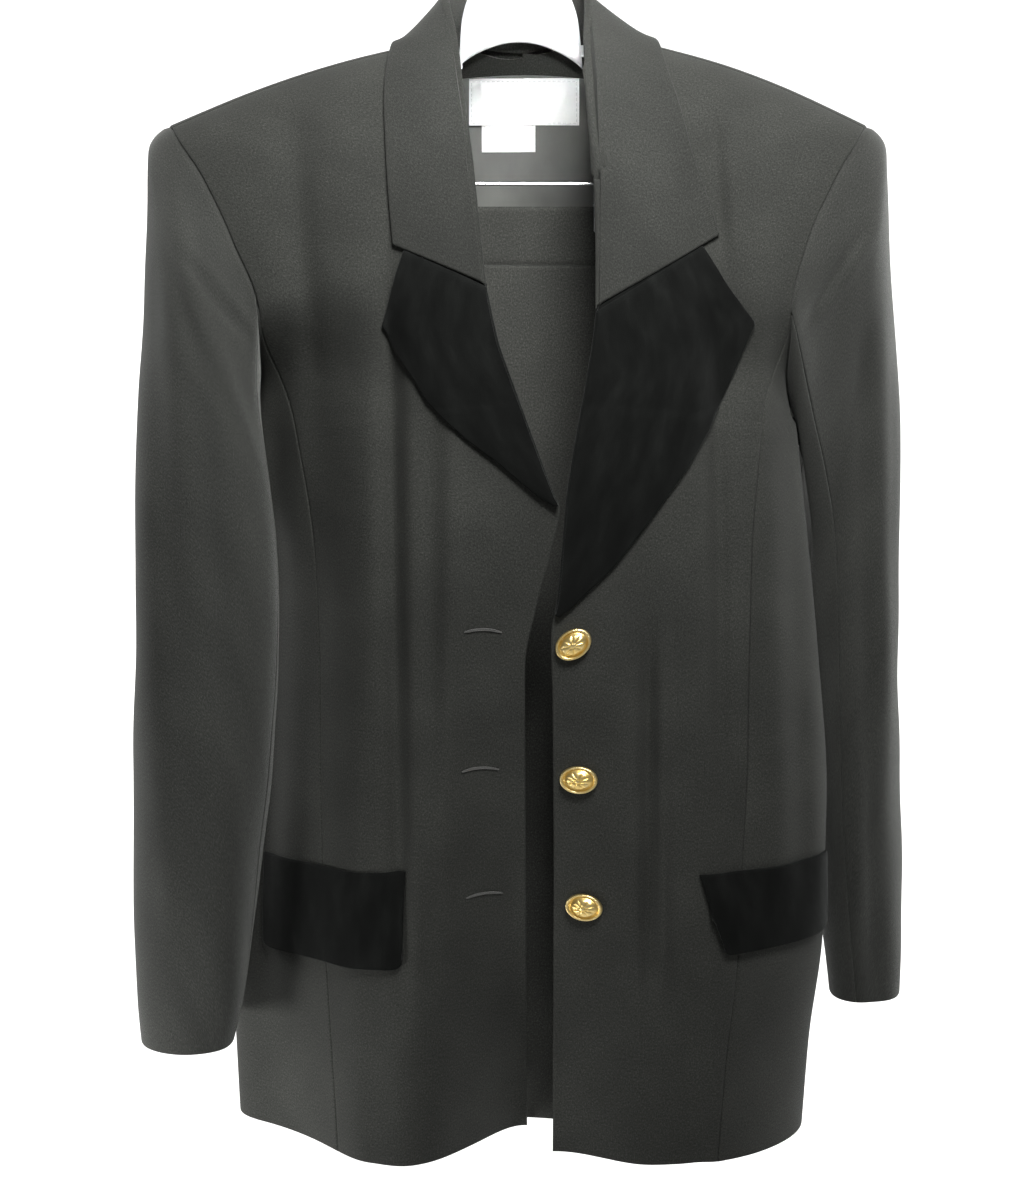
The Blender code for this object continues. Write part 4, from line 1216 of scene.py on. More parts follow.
@dataclass(frozen=True)
class StageFinish:
    """Plain pale paper."""

    name: str = "pale_paper"

    def make(self) -> Material:
        """Makes the material.

        Returns:
            The new material.
        """
        paint = Paint(self.name)
        fibre = paint.noise(paint.body_place(), 30, 4.0, 0.5)
        paint.colour(fibre, (0.3, (0.93, 0.93, 0.92)), (0.7, (0.96, 0.96, 0.955)))
        paint.set(Roughness=0.95, Specular_IOR_Level=0.1)
        return paint.material


# The jacket


def side_rows(low: float, high: float, count: int) -> Array:
    """Places up a body panel in t, closer together at both ends."""
    return low + (high - low) * lines(count, 0.7)


@dataclass
class JacketBody:
    """The fronts, side panels and backs of the jacket."""

    wool: Material
    front_columns: int = 64
    rows: int = 250
    seam_t: tuple[float, ...] = (-1.0, -0.55, -0.2, 0.0, PANEL_TOP)
    front_seam: tuple[float, ...] = (0.47, 0.50, 0.56, 0.66, 1.0)
    back_seam: tuple[float, ...] = (1.44, 1.44, 1.40, 1.30, 1.0)
    neck_side_x: float = 0.064
    shoulder_seam_t: float = 0.925
    shoulder_groove: float = 0.0009
    groove_reach: float = 0.004
    neck_drop: float = 0.31
    stand_rise: float = 0.021
    back_turn_t: float = 0.3

    def panel_rows(self) -> Array:
        """Places up a front, closer together at the shoulder seam.

        Returns:
            Rising places in t, one of them at the top of the side panel.
        """
        low = side_rows(-1.0, 1.0, self.rows)
        seam = self.shoulder_seam_t
        near = seam + np.array([-0.012, -0.006, -0.003, 0.0, 0.003, 0.006, 0.012])
        rows = np.concatenate([low[np.abs(low - seam) > 0.014], near, [PANEL_TOP]])
        return np.unique(np.round(rows, 9))

    def front(self, side: Side) -> Piece:
        """Builds one front, from its edge to its side seam and armhole.

        Args:
            side: Side of the garment.

        Returns:
            The new piece.
        """
        t = self.panel_rows()
        far = np.where(t < PANEL_TOP, smooth(t, self.seam_t, self.front_seam), 1.0)
        near = np.zeros_like(t)
        for _ in range(12):
            edge_x = EDGES[side].read("x", FORM.place(side, near, t)[..., 2])
            near = FORM.across(side, edge_x, t, True)
        part = lines(self.front_columns, 0.17)
        a = near[:, None] + (far - near)[:, None] * part
        a = np.where(part == 1.0, far[:, None], a)
        level = np.broadcast_to(t[:, None], a.shape)
        outward = FORM.edge_outward(side, a, level)
        off = (level - self.shoulder_seam_t) / self.groove_reach
        groove = self.shoulder_groove * np.exp(-off * off)
        outer = FORM.place_soft(side, a, level) - outward * groove[..., None]
        shell = Shell(side.word + "_front_cloth", outer, outward, CLOTH, self.wool)
        return put_on_cloth(shell, side.word + "_front")

    def side_panel(self, side: Side) -> Piece:
        """Builds the panel under the arm.

        Args:
            side: Side of the garment.

        Returns:
            The new piece.
        """
        w = lines(190, 0.6)[:, None]
        c = np.unique(np.concatenate([lines(22, 0.08), 1 + lines(22, 0.08)]))[None, :]
        part = np.abs(1 - c)
        t = -1 + w * (1 + PANEL_TOP * part)
        seam_t = -1 + w * (1 + PANEL_TOP)
        seam = np.where(
            c <= 1,
            smooth(seam_t, self.seam_t, self.front_seam),
            smooth(seam_t, self.seam_t, self.back_seam),
        )
        a = 1 + (seam - 1) * part
        a = np.where(c <= 1, a, np.maximum(a, BACK_OF_SIDE))
        outer, outward = FORM.place_soft(side, a, t), FORM.edge_outward(side, a, t)
        shell = Shell(side.word + "_side_cloth", outer, outward, CLOTH, self.wool)
        return put_on_cloth(shell, side.word + "_side_panel")

    def neck_a(self, side: Side) -> float:
        """The a of the side of the neck on the shoulder."""
        return float(FORM.across(side, side.sign * self.neck_side_x + 0.003, 1.0, False))

    def back_top(self, part: Array) -> Array:
        """Top of the back in t, from the side of the neck (0) to the middle (1)."""
        return 1.0 - self.neck_drop * np.sin(np.clip(part, 0, 1) * HALF_TURN) ** 1.2

    def neckline(self, x: float) -> Array:
        """Finds a point just above the neck edge of the back, inside its cloth.

        Args:
            x: Its width.

        Returns:
            The point.
        """
        side = Side.LEFT if x < MIDDLE_BACK_X else Side.RIGHT
        near = self.neck_a(side)
        t = 0.9
        for _ in range(20):
            a = FORM.across(side, x, t, False)
            t = min(float(self.back_top((a - near) / (2 - near))) + self.stand_rise, 1.0)
        return FORM.place(side, a, t) - CLOTH * FORM.outward(side, a, t)

    def back(self, side: Side) -> Piece:
        """Builds one half of the back, from its side seam to the seam down the middle.

        Args:
            side: Side of the garment.

        Returns:
            The new piece.
        """
        t = np.unique(np.round(np.concatenate([side_rows(-1.0, 1.0, self.rows), [PANEL_TOP]]), 9))
        far = np.where(t < PANEL_TOP, smooth(t, self.seam_t, self.back_seam), BACK_OF_SIDE)
        near = self.neck_a(side)
        outer_part, inner_part = lines(42, 0.14), lines(22, 0.07)[1:]
        a_outer = far[:, None] + (near - far)[:, None] * outer_part
        a_outer[:, 0] = far
        a_inner = np.broadcast_to(near + (2 - near) * inner_part, (len(t), len(inner_part)))
        level = t[:, None]
        turn = self.back_turn_t
        raised = turn + (level - turn) * (self.back_top(inner_part) - turn) / (1 - turn)
        t_inner = np.where(level < turn, level, raised)
        a = np.concatenate([a_outer, a_inner], axis=1)
        t_all = np.concatenate([np.broadcast_to(level, a_outer.shape), t_inner], axis=1)
        outer, outward = FORM.place_soft(side, a, t_all), FORM.edge_outward(side, a, t_all)
        shell = Shell(side.word + "_back_cloth", outer, outward, CLOTH, self.wool)
        return put_on_cloth(shell, side.word + "_back")

    def build(self) -> None:
        """Builds all six panels."""
        for side in Side:
            self.front(side)
            self.side_panel(side)
            self.back(side)


@dataclass
class Sleeves:
    """Both sleeves, each of an upper and an under piece.

    At each height a sleeve has the widths of its outer and inner edges, then the depths of its
    near and far ones.
    """

    wool: Material
    cuff_z: dict[Side, float] = fixed({Side.LEFT: -0.750, Side.RIGHT: -0.747})
    twist: dict[Side, float] = fixed({Side.LEFT: math.radians(36), Side.RIGHT: math.radians(-26)})
    tables: dict[Side, Table] = fixed({
        Side.LEFT: Table(
            "z outer inner near far",
            (-0.170, -0.2280, -0.166, -0.045, 0.045), (-0.225, -0.2285, -0.162, -0.062, 0.034),
            (-0.286, -0.2290, -0.156, -0.080, 0.014), (-0.343, -0.2310, -0.151, -0.090, -0.006),
            (-0.403, -0.2330, -0.149, -0.096, -0.024), (-0.468, -0.2350, -0.149, -0.099, -0.032),
            (-0.563, -0.2390, -0.153, -0.102, -0.032), (-0.660, -0.2390, -0.163, -0.102, -0.028),
            (-0.718, -0.2380, -0.171, -0.099, -0.024), (-0.757, -0.2360, -0.181, -0.094, -0.020),
        ),
        Side.RIGHT: Table(
            "z outer inner near far",
            (-0.170, 0.2275, 0.166, -0.045, 0.045), (-0.237, 0.2310, 0.172, -0.048, 0.055),
            (-0.287, 0.2360, 0.173, -0.040, 0.062), (-0.351, 0.2430, 0.174, -0.026, 0.068),
            (-0.428, 0.2470, 0.178, -0.019, 0.070), (-0.513, 0.2510, 0.183, -0.016, 0.072),
            (-0.615, 0.2530, 0.190, -0.013, 0.072), (-0.683, 0.2540, 0.198, -0.010, 0.068),
            (-0.747, 0.2540, 0.208, -0.006, 0.062),
        ),
    })
    creases: dict[Side, tuple[Fold, ...]] = fixed({
        Side.LEFT: (
            Fold(-0.221, -0.205, -0.197, -0.300, 0.0060, 0.0022),
            Fold(-0.197, -0.262, -0.168, -0.300, 0.0050, 0.0016),
            Fold(-0.188, -0.330, -0.178, -0.520, 0.0090, 0.0022),
            Fold(-0.208, -0.420, -0.196, -0.700, 0.0110, 0.0018),
            Fold(-0.222, -0.250, -0.214, -0.420, 0.0080, 0.0012),
        ),
        Side.RIGHT: (
            Fold(0.206, -0.248, 0.180, -0.290, 0.0050, 0.0018),
            Fold(0.214, -0.320, 0.222, -0.520, 0.0080, 0.0024),
            Fold(0.222, -0.500, 0.234, -0.720, 0.0080, 0.0022),
            Fold(0.236, -0.300, 0.242, -0.480, 0.0070, 0.0012),
        ),
    })
    under_arm: tuple[float, float] = (0.38, 0.62)
    allowance: tuple[float, ...] = (0.0068, 0.0034, 0.0012)
    pressed: float = 0.0010
    pressed_reach: float = 0.0022
    wave: float = 0.0020
    push: float = 0.011

    def points(self, side: Side, turn: Array, w: Array) -> Array:
        """Points of a sleeve.

        Args:
            side: Side of the garment.
            turn: Places round the armhole, 0 at the top, 0.5 under the arm.
            w: Places down the sleeve, 0 at the armhole, 1 at the cuff.

        Returns:
            A point for each place.
        """
        round_about = np.mod(turn, 1.0)
        front = round_about <= 0.5
        t = np.abs(1 - 2 * round_about)
        start = FORM.boundary(side, t, front) + np.array([side.sign * 0.0004, 0.0, 0.0])
        z = start[..., 2] + (self.cuff_z[side] - start[..., 2]) * w
        table = self.tables[side]
        outer, inner = table.read("outer", z), table.read("inner", z)
        near, far = table.read("near", z), table.read("far", z)
        angle = 2 * math.pi * round_about + self.twist[side] * ease(0.0, 0.35, w)
        ring_x = (outer + inner) / 2 + (outer - inner) / 2 * np.cos(angle)
        ring_y = (near + far) / 2 - (far - near) / 2 * np.sin(angle)
        low = np.sin(math.pi * round_about) ** 2
        part = np.minimum(w / (0.028 + 0.30 * low), 1.0)
        quick, slow = 1 - (1 - part) ** 2.4, ease(0.0, 1.0, part)
        behind = ease(0.42, 0.60, round_about) if side is Side.LEFT else 1.0
        across = quick * (1 - low) + (slow * (1 - behind) + quick * behind) * low
        ahead = quick * (1 - low) + (quick * (1 - behind) + slow * behind) * low
        push = self.push * np.sin(math.pi * part)
        push = push * ease(0.42, 0.50, round_about) * (1 - ease(0.62, 0.74, round_about))
        wave = self.wave * np.sin(3 * angle + 16 * z) * ease(0.1, 0.4, w)
        x = start[..., 0] * (1 - across) + ring_x * across
        x = x + (wave * np.cos(angle) + push) * side.sign
        y = start[..., 1] * (1 - ahead) + ring_y * ahead - wave * np.sin(angle)
        return np.stack([x, y, z], -1)

    def grid(self, side: Side, turn: Array, w: Array) -> tuple[Array, Array]:
        """Points and outward directions of a part of a sleeve, with its creases.

        Args:
            side: Side of the garment.
            turn: Places round the armhole.
            w: Places down the sleeve.

        Returns:
            A point and a direction for each place.
        """
        step = 0.004
        points = self.points(side, turn, w)
        over = self.points(side, turn + step, w) - self.points(side, turn - step, w)
        below, above = np.minimum(w + step, 1), np.maximum(w - step, 0)
        down = self.points(side, turn, below) - self.points(side, turn, above)
        out = unit(np.cross(over, down)) * side.sign
        ahead = np.clip(-out[..., 1] * 1.6, 0, 1)
        depth = sum(fold.depth_at(points[..., 0], points[..., 2]) for fold in self.creases[side])
        shift = 1.3 if side is Side.LEFT else 3.9
        depth = depth * ahead + ripple(points[..., 0], points[..., 1], points[..., 2], shift)
        depth = depth * ease(0.0, 0.06, w)
        round_about = np.mod(turn, 1.0)
        first = FORM.armhole_outward(side, np.abs(1 - 2 * round_about), round_about <= 0.5, out)
        share = (1 - ease(0.0, 0.012, w))[..., None]
        return points - out * depth[..., None], unit(out * (1 - share) + first * share)

    def build(self) -> None:
        """Builds the four pieces."""
        w = (lines(200, 0.6) ** 1.25)[:, None]
        allowance = np.array(self.allowance)
        first, last = self.under_arm
        spans = (("upper", last, 1 + first, 74), ("under", first, last, 40))
        for side in Side:
            for word, low, high, count in spans:
                turn = (low + (high - low) * lines(count, 0.2))[None, :]
                outer, outward = self.grid(side, *np.broadcast_arrays(turn, w))
                from_seam = lengths_along(outer, 0)
                pressed = self.pressed * np.exp(-((from_seam / self.pressed_reach) ** 2))
                outer = outer - outward * pressed[..., None]
                inward = np.array([-side.sign, 0.0, 0.0]) * allowance[:, None, None]
                sunk = outward[:1] * (0.30 * allowance + 0.0012)[:, None, None]
                outer = np.concatenate([outer[:1] + inward - sunk, outer])
                outward = np.concatenate([np.repeat(outward[:1], 3, axis=0), outward])
                name = f"{side.word}_{word}_sleeve"
                shell = Shell(name + "_cloth", outer, outward, CLOTH, self.wool)
                put_on_cloth(shell, name)


@dataclass(frozen=True)
class Station:
    """Where the collar's crest, edge and base are at one place round the neck."""

    crest: tuple[float, float | None, float]
    edge: tuple[float, float | None, Face]
    base: tuple[float, float | None, Face]


@dataclass
class Collar:
    """The wool collar: a stand inside the neck, a rounded crest and the fall over it."""

    wool: Material
    jacket: JacketBody
    crest_radius: float = 0.0032
    edge_lift: float = 0.0026
    low_crest_lift: float = 0.0016
    stand_bulge: float = 0.0040
    fall_rise: float = 0.042
    least_lift: float = 0.0032
    shoulder_lift: float = 0.0016
    shoulder_reach: float = 0.028
    rounds_along: int = 14
    rounds_down: int = 4
    stations: tuple[Station, ...] = (
        Station((-0.0185, None, -0.2755), (-0.0735, -0.2515, Face.FRONT), (-0.0255, -0.2735, Face.FRONT)),
        Station((-0.0225, None, -0.2400), (-0.0765, -0.2240, Face.FRONT), (-0.0330, -0.2380, Face.FRONT)),
        Station((-0.0270, -0.078, -0.2000), (-0.0785, -0.1930, Face.FRONT), (-0.0430, -0.1970, Face.FRONT)),
        Station((-0.0320, -0.058, -0.1650), (-0.0800, -0.1640, Face.FRONT), (-0.0520, -0.1680, Face.FRONT)),
        Station((-0.0365, -0.033, -0.1300), (-0.0785, -0.1420, Face.FRONT), (-0.0590, -0.1440, Face.FRONT)),
        Station((-0.0430, -0.004, -0.1035), (-0.0750, None, Face.RIDGE), (-0.0580, None, Face.RIDGE)),
        Station((-0.0440, 0.021, -0.0955), (-0.0700, -0.1400, Face.BACK), (-0.0520, None, Face.BACK)),
        Station((-0.0300, 0.037, -0.0935), (-0.0440, -0.1460, Face.BACK), (-0.0320, None, Face.BACK)),
        Station((-0.0020, 0.042, -0.0930), (0.0000, -0.1480, Face.BACK), (0.0010, None, Face.BACK)),
        Station((0.0270, 0.037, -0.0930), (0.0440, -0.1460, Face.BACK), (0.0360, None, Face.BACK)),
        Station((0.0400, 0.021, -0.0945), (0.0760, -0.1410, Face.BACK), (0.0580, None, Face.BACK)),
        Station((0.0410, -0.004, -0.1030), (0.0830, None, Face.RIDGE), (0.0660, None, Face.RIDGE)),
        Station((0.0395, -0.033, -0.1320), (0.0890, -0.1480, Face.FRONT), (0.0650, -0.1460, Face.FRONT)),
        Station((0.0412, -0.058, -0.1650), (0.0965, -0.1720, Face.FRONT), (0.0600, -0.1700, Face.FRONT)),
        Station((0.0437, -0.078, -0.2000), (0.1035, -0.2000, Face.FRONT), (0.0570, -0.1990, Face.FRONT)),
        Station((0.0447, None, -0.2450), (0.1130, -0.2270, Face.FRONT), (0.0560, -0.2440, Face.FRONT)),
        Station((0.0450, None, -0.2900), (0.1200, -0.2460, Face.FRONT), (0.0540, -0.2880, Face.FRONT)),
    )

    def station_points(self, station: Station) -> tuple[Array, Array, Array]:
        """Places one station on the jacket.

        Args:
            station: The station.

        Returns:
            Its base, crest and edge points.
        """
        cx, cy, cz = station.crest
        edge_x, edge_z, edge_face = station.edge
        base_x, base_z, base_face = station.base
        if base_face is Face.FRONT:
            base = FORM.on_either(base_x, base_z, True, -CLOTH)
        elif base_face is Face.RIDGE:
            base = FORM.on_ridge(base_x, -CLOTH)
        else:
            base = self.jacket.neckline(base_x)
        if edge_face is Face.RIDGE:
            edge = FORM.on_ridge(edge_x, self.edge_lift)
        else:
            edge = FORM.on_either(edge_x, edge_z, edge_face is Face.FRONT, self.edge_lift)
        if cy is None:
            side = Side.LEFT if cx < 0 else Side.RIGHT
            crest = FORM.on(side, cx, cz, True, self.low_crest_lift)
        else:
            crest = np.array([cx, cy, cz])
        return base, crest, edge

    def sections(self, base: Array, crest: Array, edge: Array, fall: Array) -> Array:
        """Lines of points over the collar, from its base to its edge.

        Args:
            base: Base points.
            crest: Crest points.
            edge: Edge points.
            fall: Places down the fall, from 0 to 1.

        Returns:
            A grid of points, one line for each station.
        """
        radius = self.crest_radius
        up = unit(crest - (base + edge) / 2)
        apart = edge - base
        apart = unit(apart - up * np.sum(apart * up, axis=-1, keepdims=True))
        inside = crest - up * radius - apart * radius
        outside = crest - up * radius + apart * radius
        bulge = base * 0.5 + inside * 0.5 - apart * self.stand_bulge
        stand = [
            (1 - f) ** 2 * base + 2 * f * (1 - f) * bulge + f * f * inside
            for f in lines(10, 0.03)[:-1]
        ]
        turned = [
            crest - up * radius * (1 - np.sin(angle)) - apart * radius * np.cos(angle)
            for angle in np.linspace(0, math.pi, 11)
        ]
        head = np.stack(stand + turned, axis=1)
        reach = np.linalg.norm(edge - outside, axis=-1)[:, None, None]
        down = fall[None, :, None]
        lie = outside[:, None] + (edge - outside)[:, None] * down
        lie = lie + up[:, None] * self.fall_rise * reach * np.sin(math.pi * down)
        near_top = np.exp(-((lie[..., 1] / self.shoulder_reach) ** 2))
        lie = FORM.lifted_clear(lie, self.least_lift + self.shoulder_lift * near_top)
        for _ in range(self.rounds_along):
            lie[1:-1] = (lie[:-2] + 2 * lie[1:-1] + lie[2:]) / 4
        for _ in range(self.rounds_down):
            lie[:, 1:-1] = (lie[:, :-2] + 2 * lie[:, 1:-1] + lie[:, 2:]) / 4
        return np.concatenate([head, lie], axis=1)

    def build(self) -> None:
        """Builds the collar."""
        found = [self.station_points(station) for station in self.stations]
        knots = np.arange(len(found), dtype=float)
        at = lines(230, 0.62) * (len(found) - 1)
        base, crest, edge = (
            np.stack(
                [smooth(at, knots, [points[k][axis] for points in found]) for axis in range(3)], -1
            )
            for k in range(3)
        )
        outer = self.sections(base, crest, edge, lines(30, 0.07)[1:])
        outward = self.softened(grid_outward(outer, -1.0))
        shell = Shell("collar_cloth", outer, outward, CLOTH, self.wool, hold=Hold.FOLDED)
        put_on_cloth(shell, "collar")

    def softened(self, outward: Array) -> Array:
        """Evens directions out along the collar.

        Args:
            outward: The directions.

        Returns:
            The new directions.
        """
        for _ in range(3):
            middle = outward[1:-1] * 2 + outward[:-2] + outward[2:]
            outward = np.concatenate([outward[:1], unit(middle), outward[-1:]])
        return outward


@dataclass
class Lapels:
    """Velvet facings that turn back over the fronts.

    The tables follow the roll and the free edge upward. leg holds distances past the roll, and
    lifts off the cloth, from the hidden leg round the roll to the start of the face.
    """

    velvet: Material
    tables: dict[Side, Table] = fixed({
        Side.LEFT: Table(
            "roll_x roll_z edge_x edge_z",
            (0.0240, -0.4030, 0.0205, -0.4040), (0.0215, -0.3975, 0.0100, -0.3970),
            (0.0160, -0.3830, -0.0110, -0.3790), (0.0090, -0.3640, -0.0320, -0.3640),
            (0.0005, -0.3410, -0.0540, -0.3420), (-0.0060, -0.3230, -0.0700, -0.3160),
            (-0.0110, -0.3090, -0.0815, -0.2990), (-0.0150, -0.2920, -0.0740, -0.2760),
            (-0.0184, -0.2758, -0.0672, -0.2548), (-0.0198, -0.2722, -0.0662, -0.2512),
        ),
        Side.RIGHT: Table(
            "roll_x roll_z edge_x edge_z",
            (0.0215, -0.4690, 0.0250, -0.4710), (0.0225, -0.4620, 0.0330, -0.4640),
            (0.0245, -0.4430, 0.0570, -0.4400), (0.0260, -0.4240, 0.0780, -0.4130),
            (0.0280, -0.3980, 0.1000, -0.3820), (0.0330, -0.3650, 0.1240, -0.3400),
            (0.0390, -0.3330, 0.1415, -0.2975), (0.0430, -0.3080, 0.1245, -0.2750),
            (0.0450, -0.2903, 0.1090, -0.2523), (0.0462, -0.2866, 0.1102, -0.2484),
        ),
    })
    gorge: float = 8 / 9
    full_leg_width: float = 0.012
    roll_width: float = 0.0010
    face_lift: float = 0.0032
    roll_lift: float = 0.0014
    puff: float = 0.0006
    tucked_lift: float = 0.0018
    leg: tuple[tuple[float, float], ...] = (
        (0.0060, -0.0016), (0.0044, -0.0018), (0.0028, -0.0017), (0.0014, -0.0012),
        (0.0006, -0.0004), (0.0001, 0.0006), (0.0000, 0.0016), (0.0003, 0.0027), (0.0010, 0.0036),
    )

    def build_one(self, side: Side) -> Piece:
        """Builds one lapel: a short leg behind the roll, the roll and the face.

        Args:
            side: Side of the garment.

        Returns:
            The new piece.
        """
        table = self.tables[side]
        at = lines(120, 0.24)
        roll = np.stack([table.straight("roll_x", at), table.straight("roll_z", at)], -1)
        edge = np.stack([table.straight("edge_x", at), table.straight("edge_z", at)], -1)
        width = np.linalg.norm(edge - roll, axis=1)
        along = (edge - roll) / width[:, None]
        scale = np.minimum(1.0, width / self.full_leg_width)
        under = ease(self.gorge - 0.02, self.gorge + 0.03, at)
        places, lifts = [], []
        for distance, lift in self.leg:
            places.append(roll + along * (distance * scale)[:, None])
            lifts.append(np.full(len(at), lift))
        for f in lines(34, 0.06)[1:]:
            start = self.roll_width * scale
            places.append(roll + along * (start + (width - start) * f)[:, None])
            lift = self.face_lift + self.roll_lift * (1 - f) ** 1.5 + self.puff * math.sin(math.pi * f)
            lifts.append(lift + (self.tucked_lift - lift) * under)
        place, lift = np.stack(places, 1), np.stack(lifts, 1)
        outer = FORM.on(side, place[..., 0], place[..., 1], True, lift)
        outward = -side.sign * grid_outward(outer, -1.0)
        name = side.word + "_lapel"
        shell = Shell(name + "_velvet", outer, outward, VELVET, self.velvet, hold=Hold.FOLDED)
        return put_on_cloth(shell, name)

    def build(self) -> None:
        """Builds both lapels."""
        for side in Side:
            self.build_one(side)


@dataclass(frozen=True)
class FlapSize:
    """Ends of a pocket flap: widths, top and bottom heights, and the lean of its inner end."""

    inner_x: float
    inner_top: float
    inner_low: float
    outer_x: float
    outer_top: float
    outer_low: float
    lean: float


@dataclass
class PocketFlaps:
    """Velvet flaps over the pockets."""

    velvet: Material
    corner: float = 0.006
    top_lift: float = 0.0024
    low_lift: float = 0.0014
    puff: float = 0.0005
    sizes: dict[Side, FlapSize] = fixed({
        Side.LEFT: FlapSize(-0.0685, -0.630, -0.691, -0.162, -0.637, -0.699, -0.002),
        Side.RIGHT: FlapSize(0.1105, -0.6310, -0.6830, 0.1935, -0.6300, -0.6820, 0.015),
    })

    def build_one(self, side: Side) -> Piece:
        """Builds one flap on the cloth of its front.

        Args:
            side: Side of the garment.

        Returns:
            The new piece.
        """
        size = self.sizes[side]
        down, f = lines(26, 0.062)[:, None], lines(36, 0.088)[None, :]
        top = size.inner_top + (size.outer_top - size.inner_top) * f
        low = size.inner_low + (size.outer_low - size.inner_low) * f
        width = abs(size.outer_x - size.inner_x)
        near = np.minimum(f, 1 - f) * width
        rounding = np.clip(1 - near / self.corner, 0, 1)
        low = low + self.corner * (1 - np.sqrt(1 - rounding**2)) * 0.8
        x = size.inner_x + (size.outer_x - size.inner_x) * f + size.lean * down * (1 - f)
        lift = self.top_lift + self.low_lift * down + self.puff * np.sin(math.pi * down) + 0 * f
        outer = FORM.on(side, x, top + (low - top) * down, True, lift)
        outward = side.sign * grid_outward(outer, -1.0)
        name = side.word + "_pocket_flap"
        shell = Shell(name + "_velvet", outer, outward, VELVET, self.velvet)
        return put_on_cloth(shell, name)

    def build(self) -> None:
        """Builds both flaps."""
        for side in Side:
            self.build_one(side)


@dataclass
class Seat:
    """A place on a front, with the directions along, up and out of the cloth there."""

    side: Side
    x: float
    z: float
    lift: float

    def frame(self) -> tuple[Array, Array, Array, Array]:
        """Finds the seat on the cloth.

        Returns:
            Its point and its directions across, up and out.
        """
        a, t = FORM.find(self.side, self.x, self.z, True)
        out = FORM.outward(self.side, a, t)
        point = FORM.place(self.side, a, t) + out * self.lift
        over = unit(np.cross(out, np.array([0.0, 0.0, 1.0])))
        over = over if over[0] > 0 else -over
        up = unit(np.cross(over, out))
        return point, over, up if up[2] > 0 else -up, out


@dataclass
class Buttons:
    """Oval gilt buttons: a twisted rim, a groove and a domed rosette.

    Each ring has its size, as a share of the whole, and its height off the cloth.
    """

    gilt: Material
    long: float = 0.01175
    short: float = 0.00875
    lift: float = 0.0005
    count: int = 112
    ring_count: int = 44
    twists: int = 44
    twist_height: float = 0.00028
    petal_height: float = 0.00050
    boss_height: float = 0.00042
    places: dict[str, Place] = fixed({
        "button_top": (0.033, -0.487, math.radians(35)),
        "button_middle": (0.037, -0.572, math.radians(2)),
        "button_bottom": (0.041, -0.654, math.radians(-3)),
    })
    rings: Table = fixed(Table(
        "part size height",
        (0.00, 0.300, 0.0000), (0.10, 0.800, 0.0002), (0.18, 0.960, 0.0008),
        (0.25, 1.000, 0.0017), (0.31, 0.985, 0.0027), (0.36, 0.930, 0.0034),
        (0.41, 0.860, 0.0034), (0.45, 0.815, 0.0029), (0.49, 0.780, 0.0026),
        (0.54, 0.730, 0.0029), (0.60, 0.660, 0.0036), (0.72, 0.500, 0.0045),
        (0.86, 0.260, 0.0053), (1.00, 0.001, 0.0057),
    ))

    def build_one(self, name: str, x: float, z: float, turn: float) -> Piece:
        """Builds one button on the right front.

        Args:
            name: Name of the solid that it stands for.
            x: Its width.
            z: Its height.
            turn: Angle that its long way is turned by.

        Returns:
            The new piece.
        """
        point, over, up, out = Seat(Side.RIGHT, x, z, self.lift).frame()
        part = np.linspace(0.0, 1.0, self.ring_count)[:, None]
        angle = np.linspace(0.0, 2 * math.pi, self.count, endpoint=False)[None, :]
        size, height = self.rings.read("size", part), self.rings.read("height", part)
        rope = np.exp(-(((size - 0.93) / 0.055) ** 2)) * (part > 0.2)
        height = height + self.twist_height * rope * np.cos(self.twists * angle + 9 * size)
        petals = ease(0.10, 0.30, size) * (1 - ease(0.56, 0.70, size)) * (part > 0.5)
        height = height + self.petal_height * petals * np.abs(np.cos(4 * angle)) ** 0.6
        boss = (1 - ease(0.10, 0.17, size)) * (part > 0.5)
        height = height + self.boss_height * boss
        u, v = self.long * size * np.cos(angle), self.short * size * np.sin(angle)
        wide = u * math.cos(turn) - v * math.sin(turn)
        high = u * math.sin(turn) + v * math.cos(turn)
        points = point + over * wide[..., None] + up * high[..., None] + out * height[..., None]
        piece = new_mesh(name + "_gilt", points, ring_faces(*points.shape[:2]), self.gilt)
        return put_on(piece, (name,))

    def build(self) -> None:
        """Builds the three buttons."""
        for name, place in self.places.items():
            self.build_one(name, *place)


def tube_mesh(path: Array, radius: float, count: int, closed: bool) -> tuple[Array, Faces]:
    """Points and faces of a round cord along a path.

    Args:
        path: Points down the middle.
        radius: Radius of the cord.
        count: Points round it.
        closed: True where the last point meets the first.

    Returns:
        Points and faces.
    """
    if closed:
        run = np.roll(path, -1, axis=0) - np.roll(path, 1, axis=0)
    else:
        run = np.gradient(path, axis=0)
    run = unit(run)
    up = np.where(np.abs(run[:, 1:2]) < 0.9, [[0.0, 1.0, 0.0]], [[1.0, 0.0, 0.0]])
    first = unit(np.cross(run, up))
    second = np.cross(run, first)
    angle = np.linspace(0, 2 * math.pi, count, endpoint=False)[None, :, None]
    points = path[:, None] + radius * (first[:, None] * np.cos(angle) + second[:, None] * np.sin(angle))
    index = np.arange(len(path) * count).reshape(len(path), count)
    if closed:
        index = np.concatenate([index, index[:1]])
    after = np.roll(index, -1, axis=1)
    faces = np.stack([index[:-1], index[1:], after[1:], after[:-1]], -1).reshape(-1, 4).tolist()
    if not closed:
        faces += [index[0].tolist(), index[-1, ::-1].tolist()]
    return points, faces


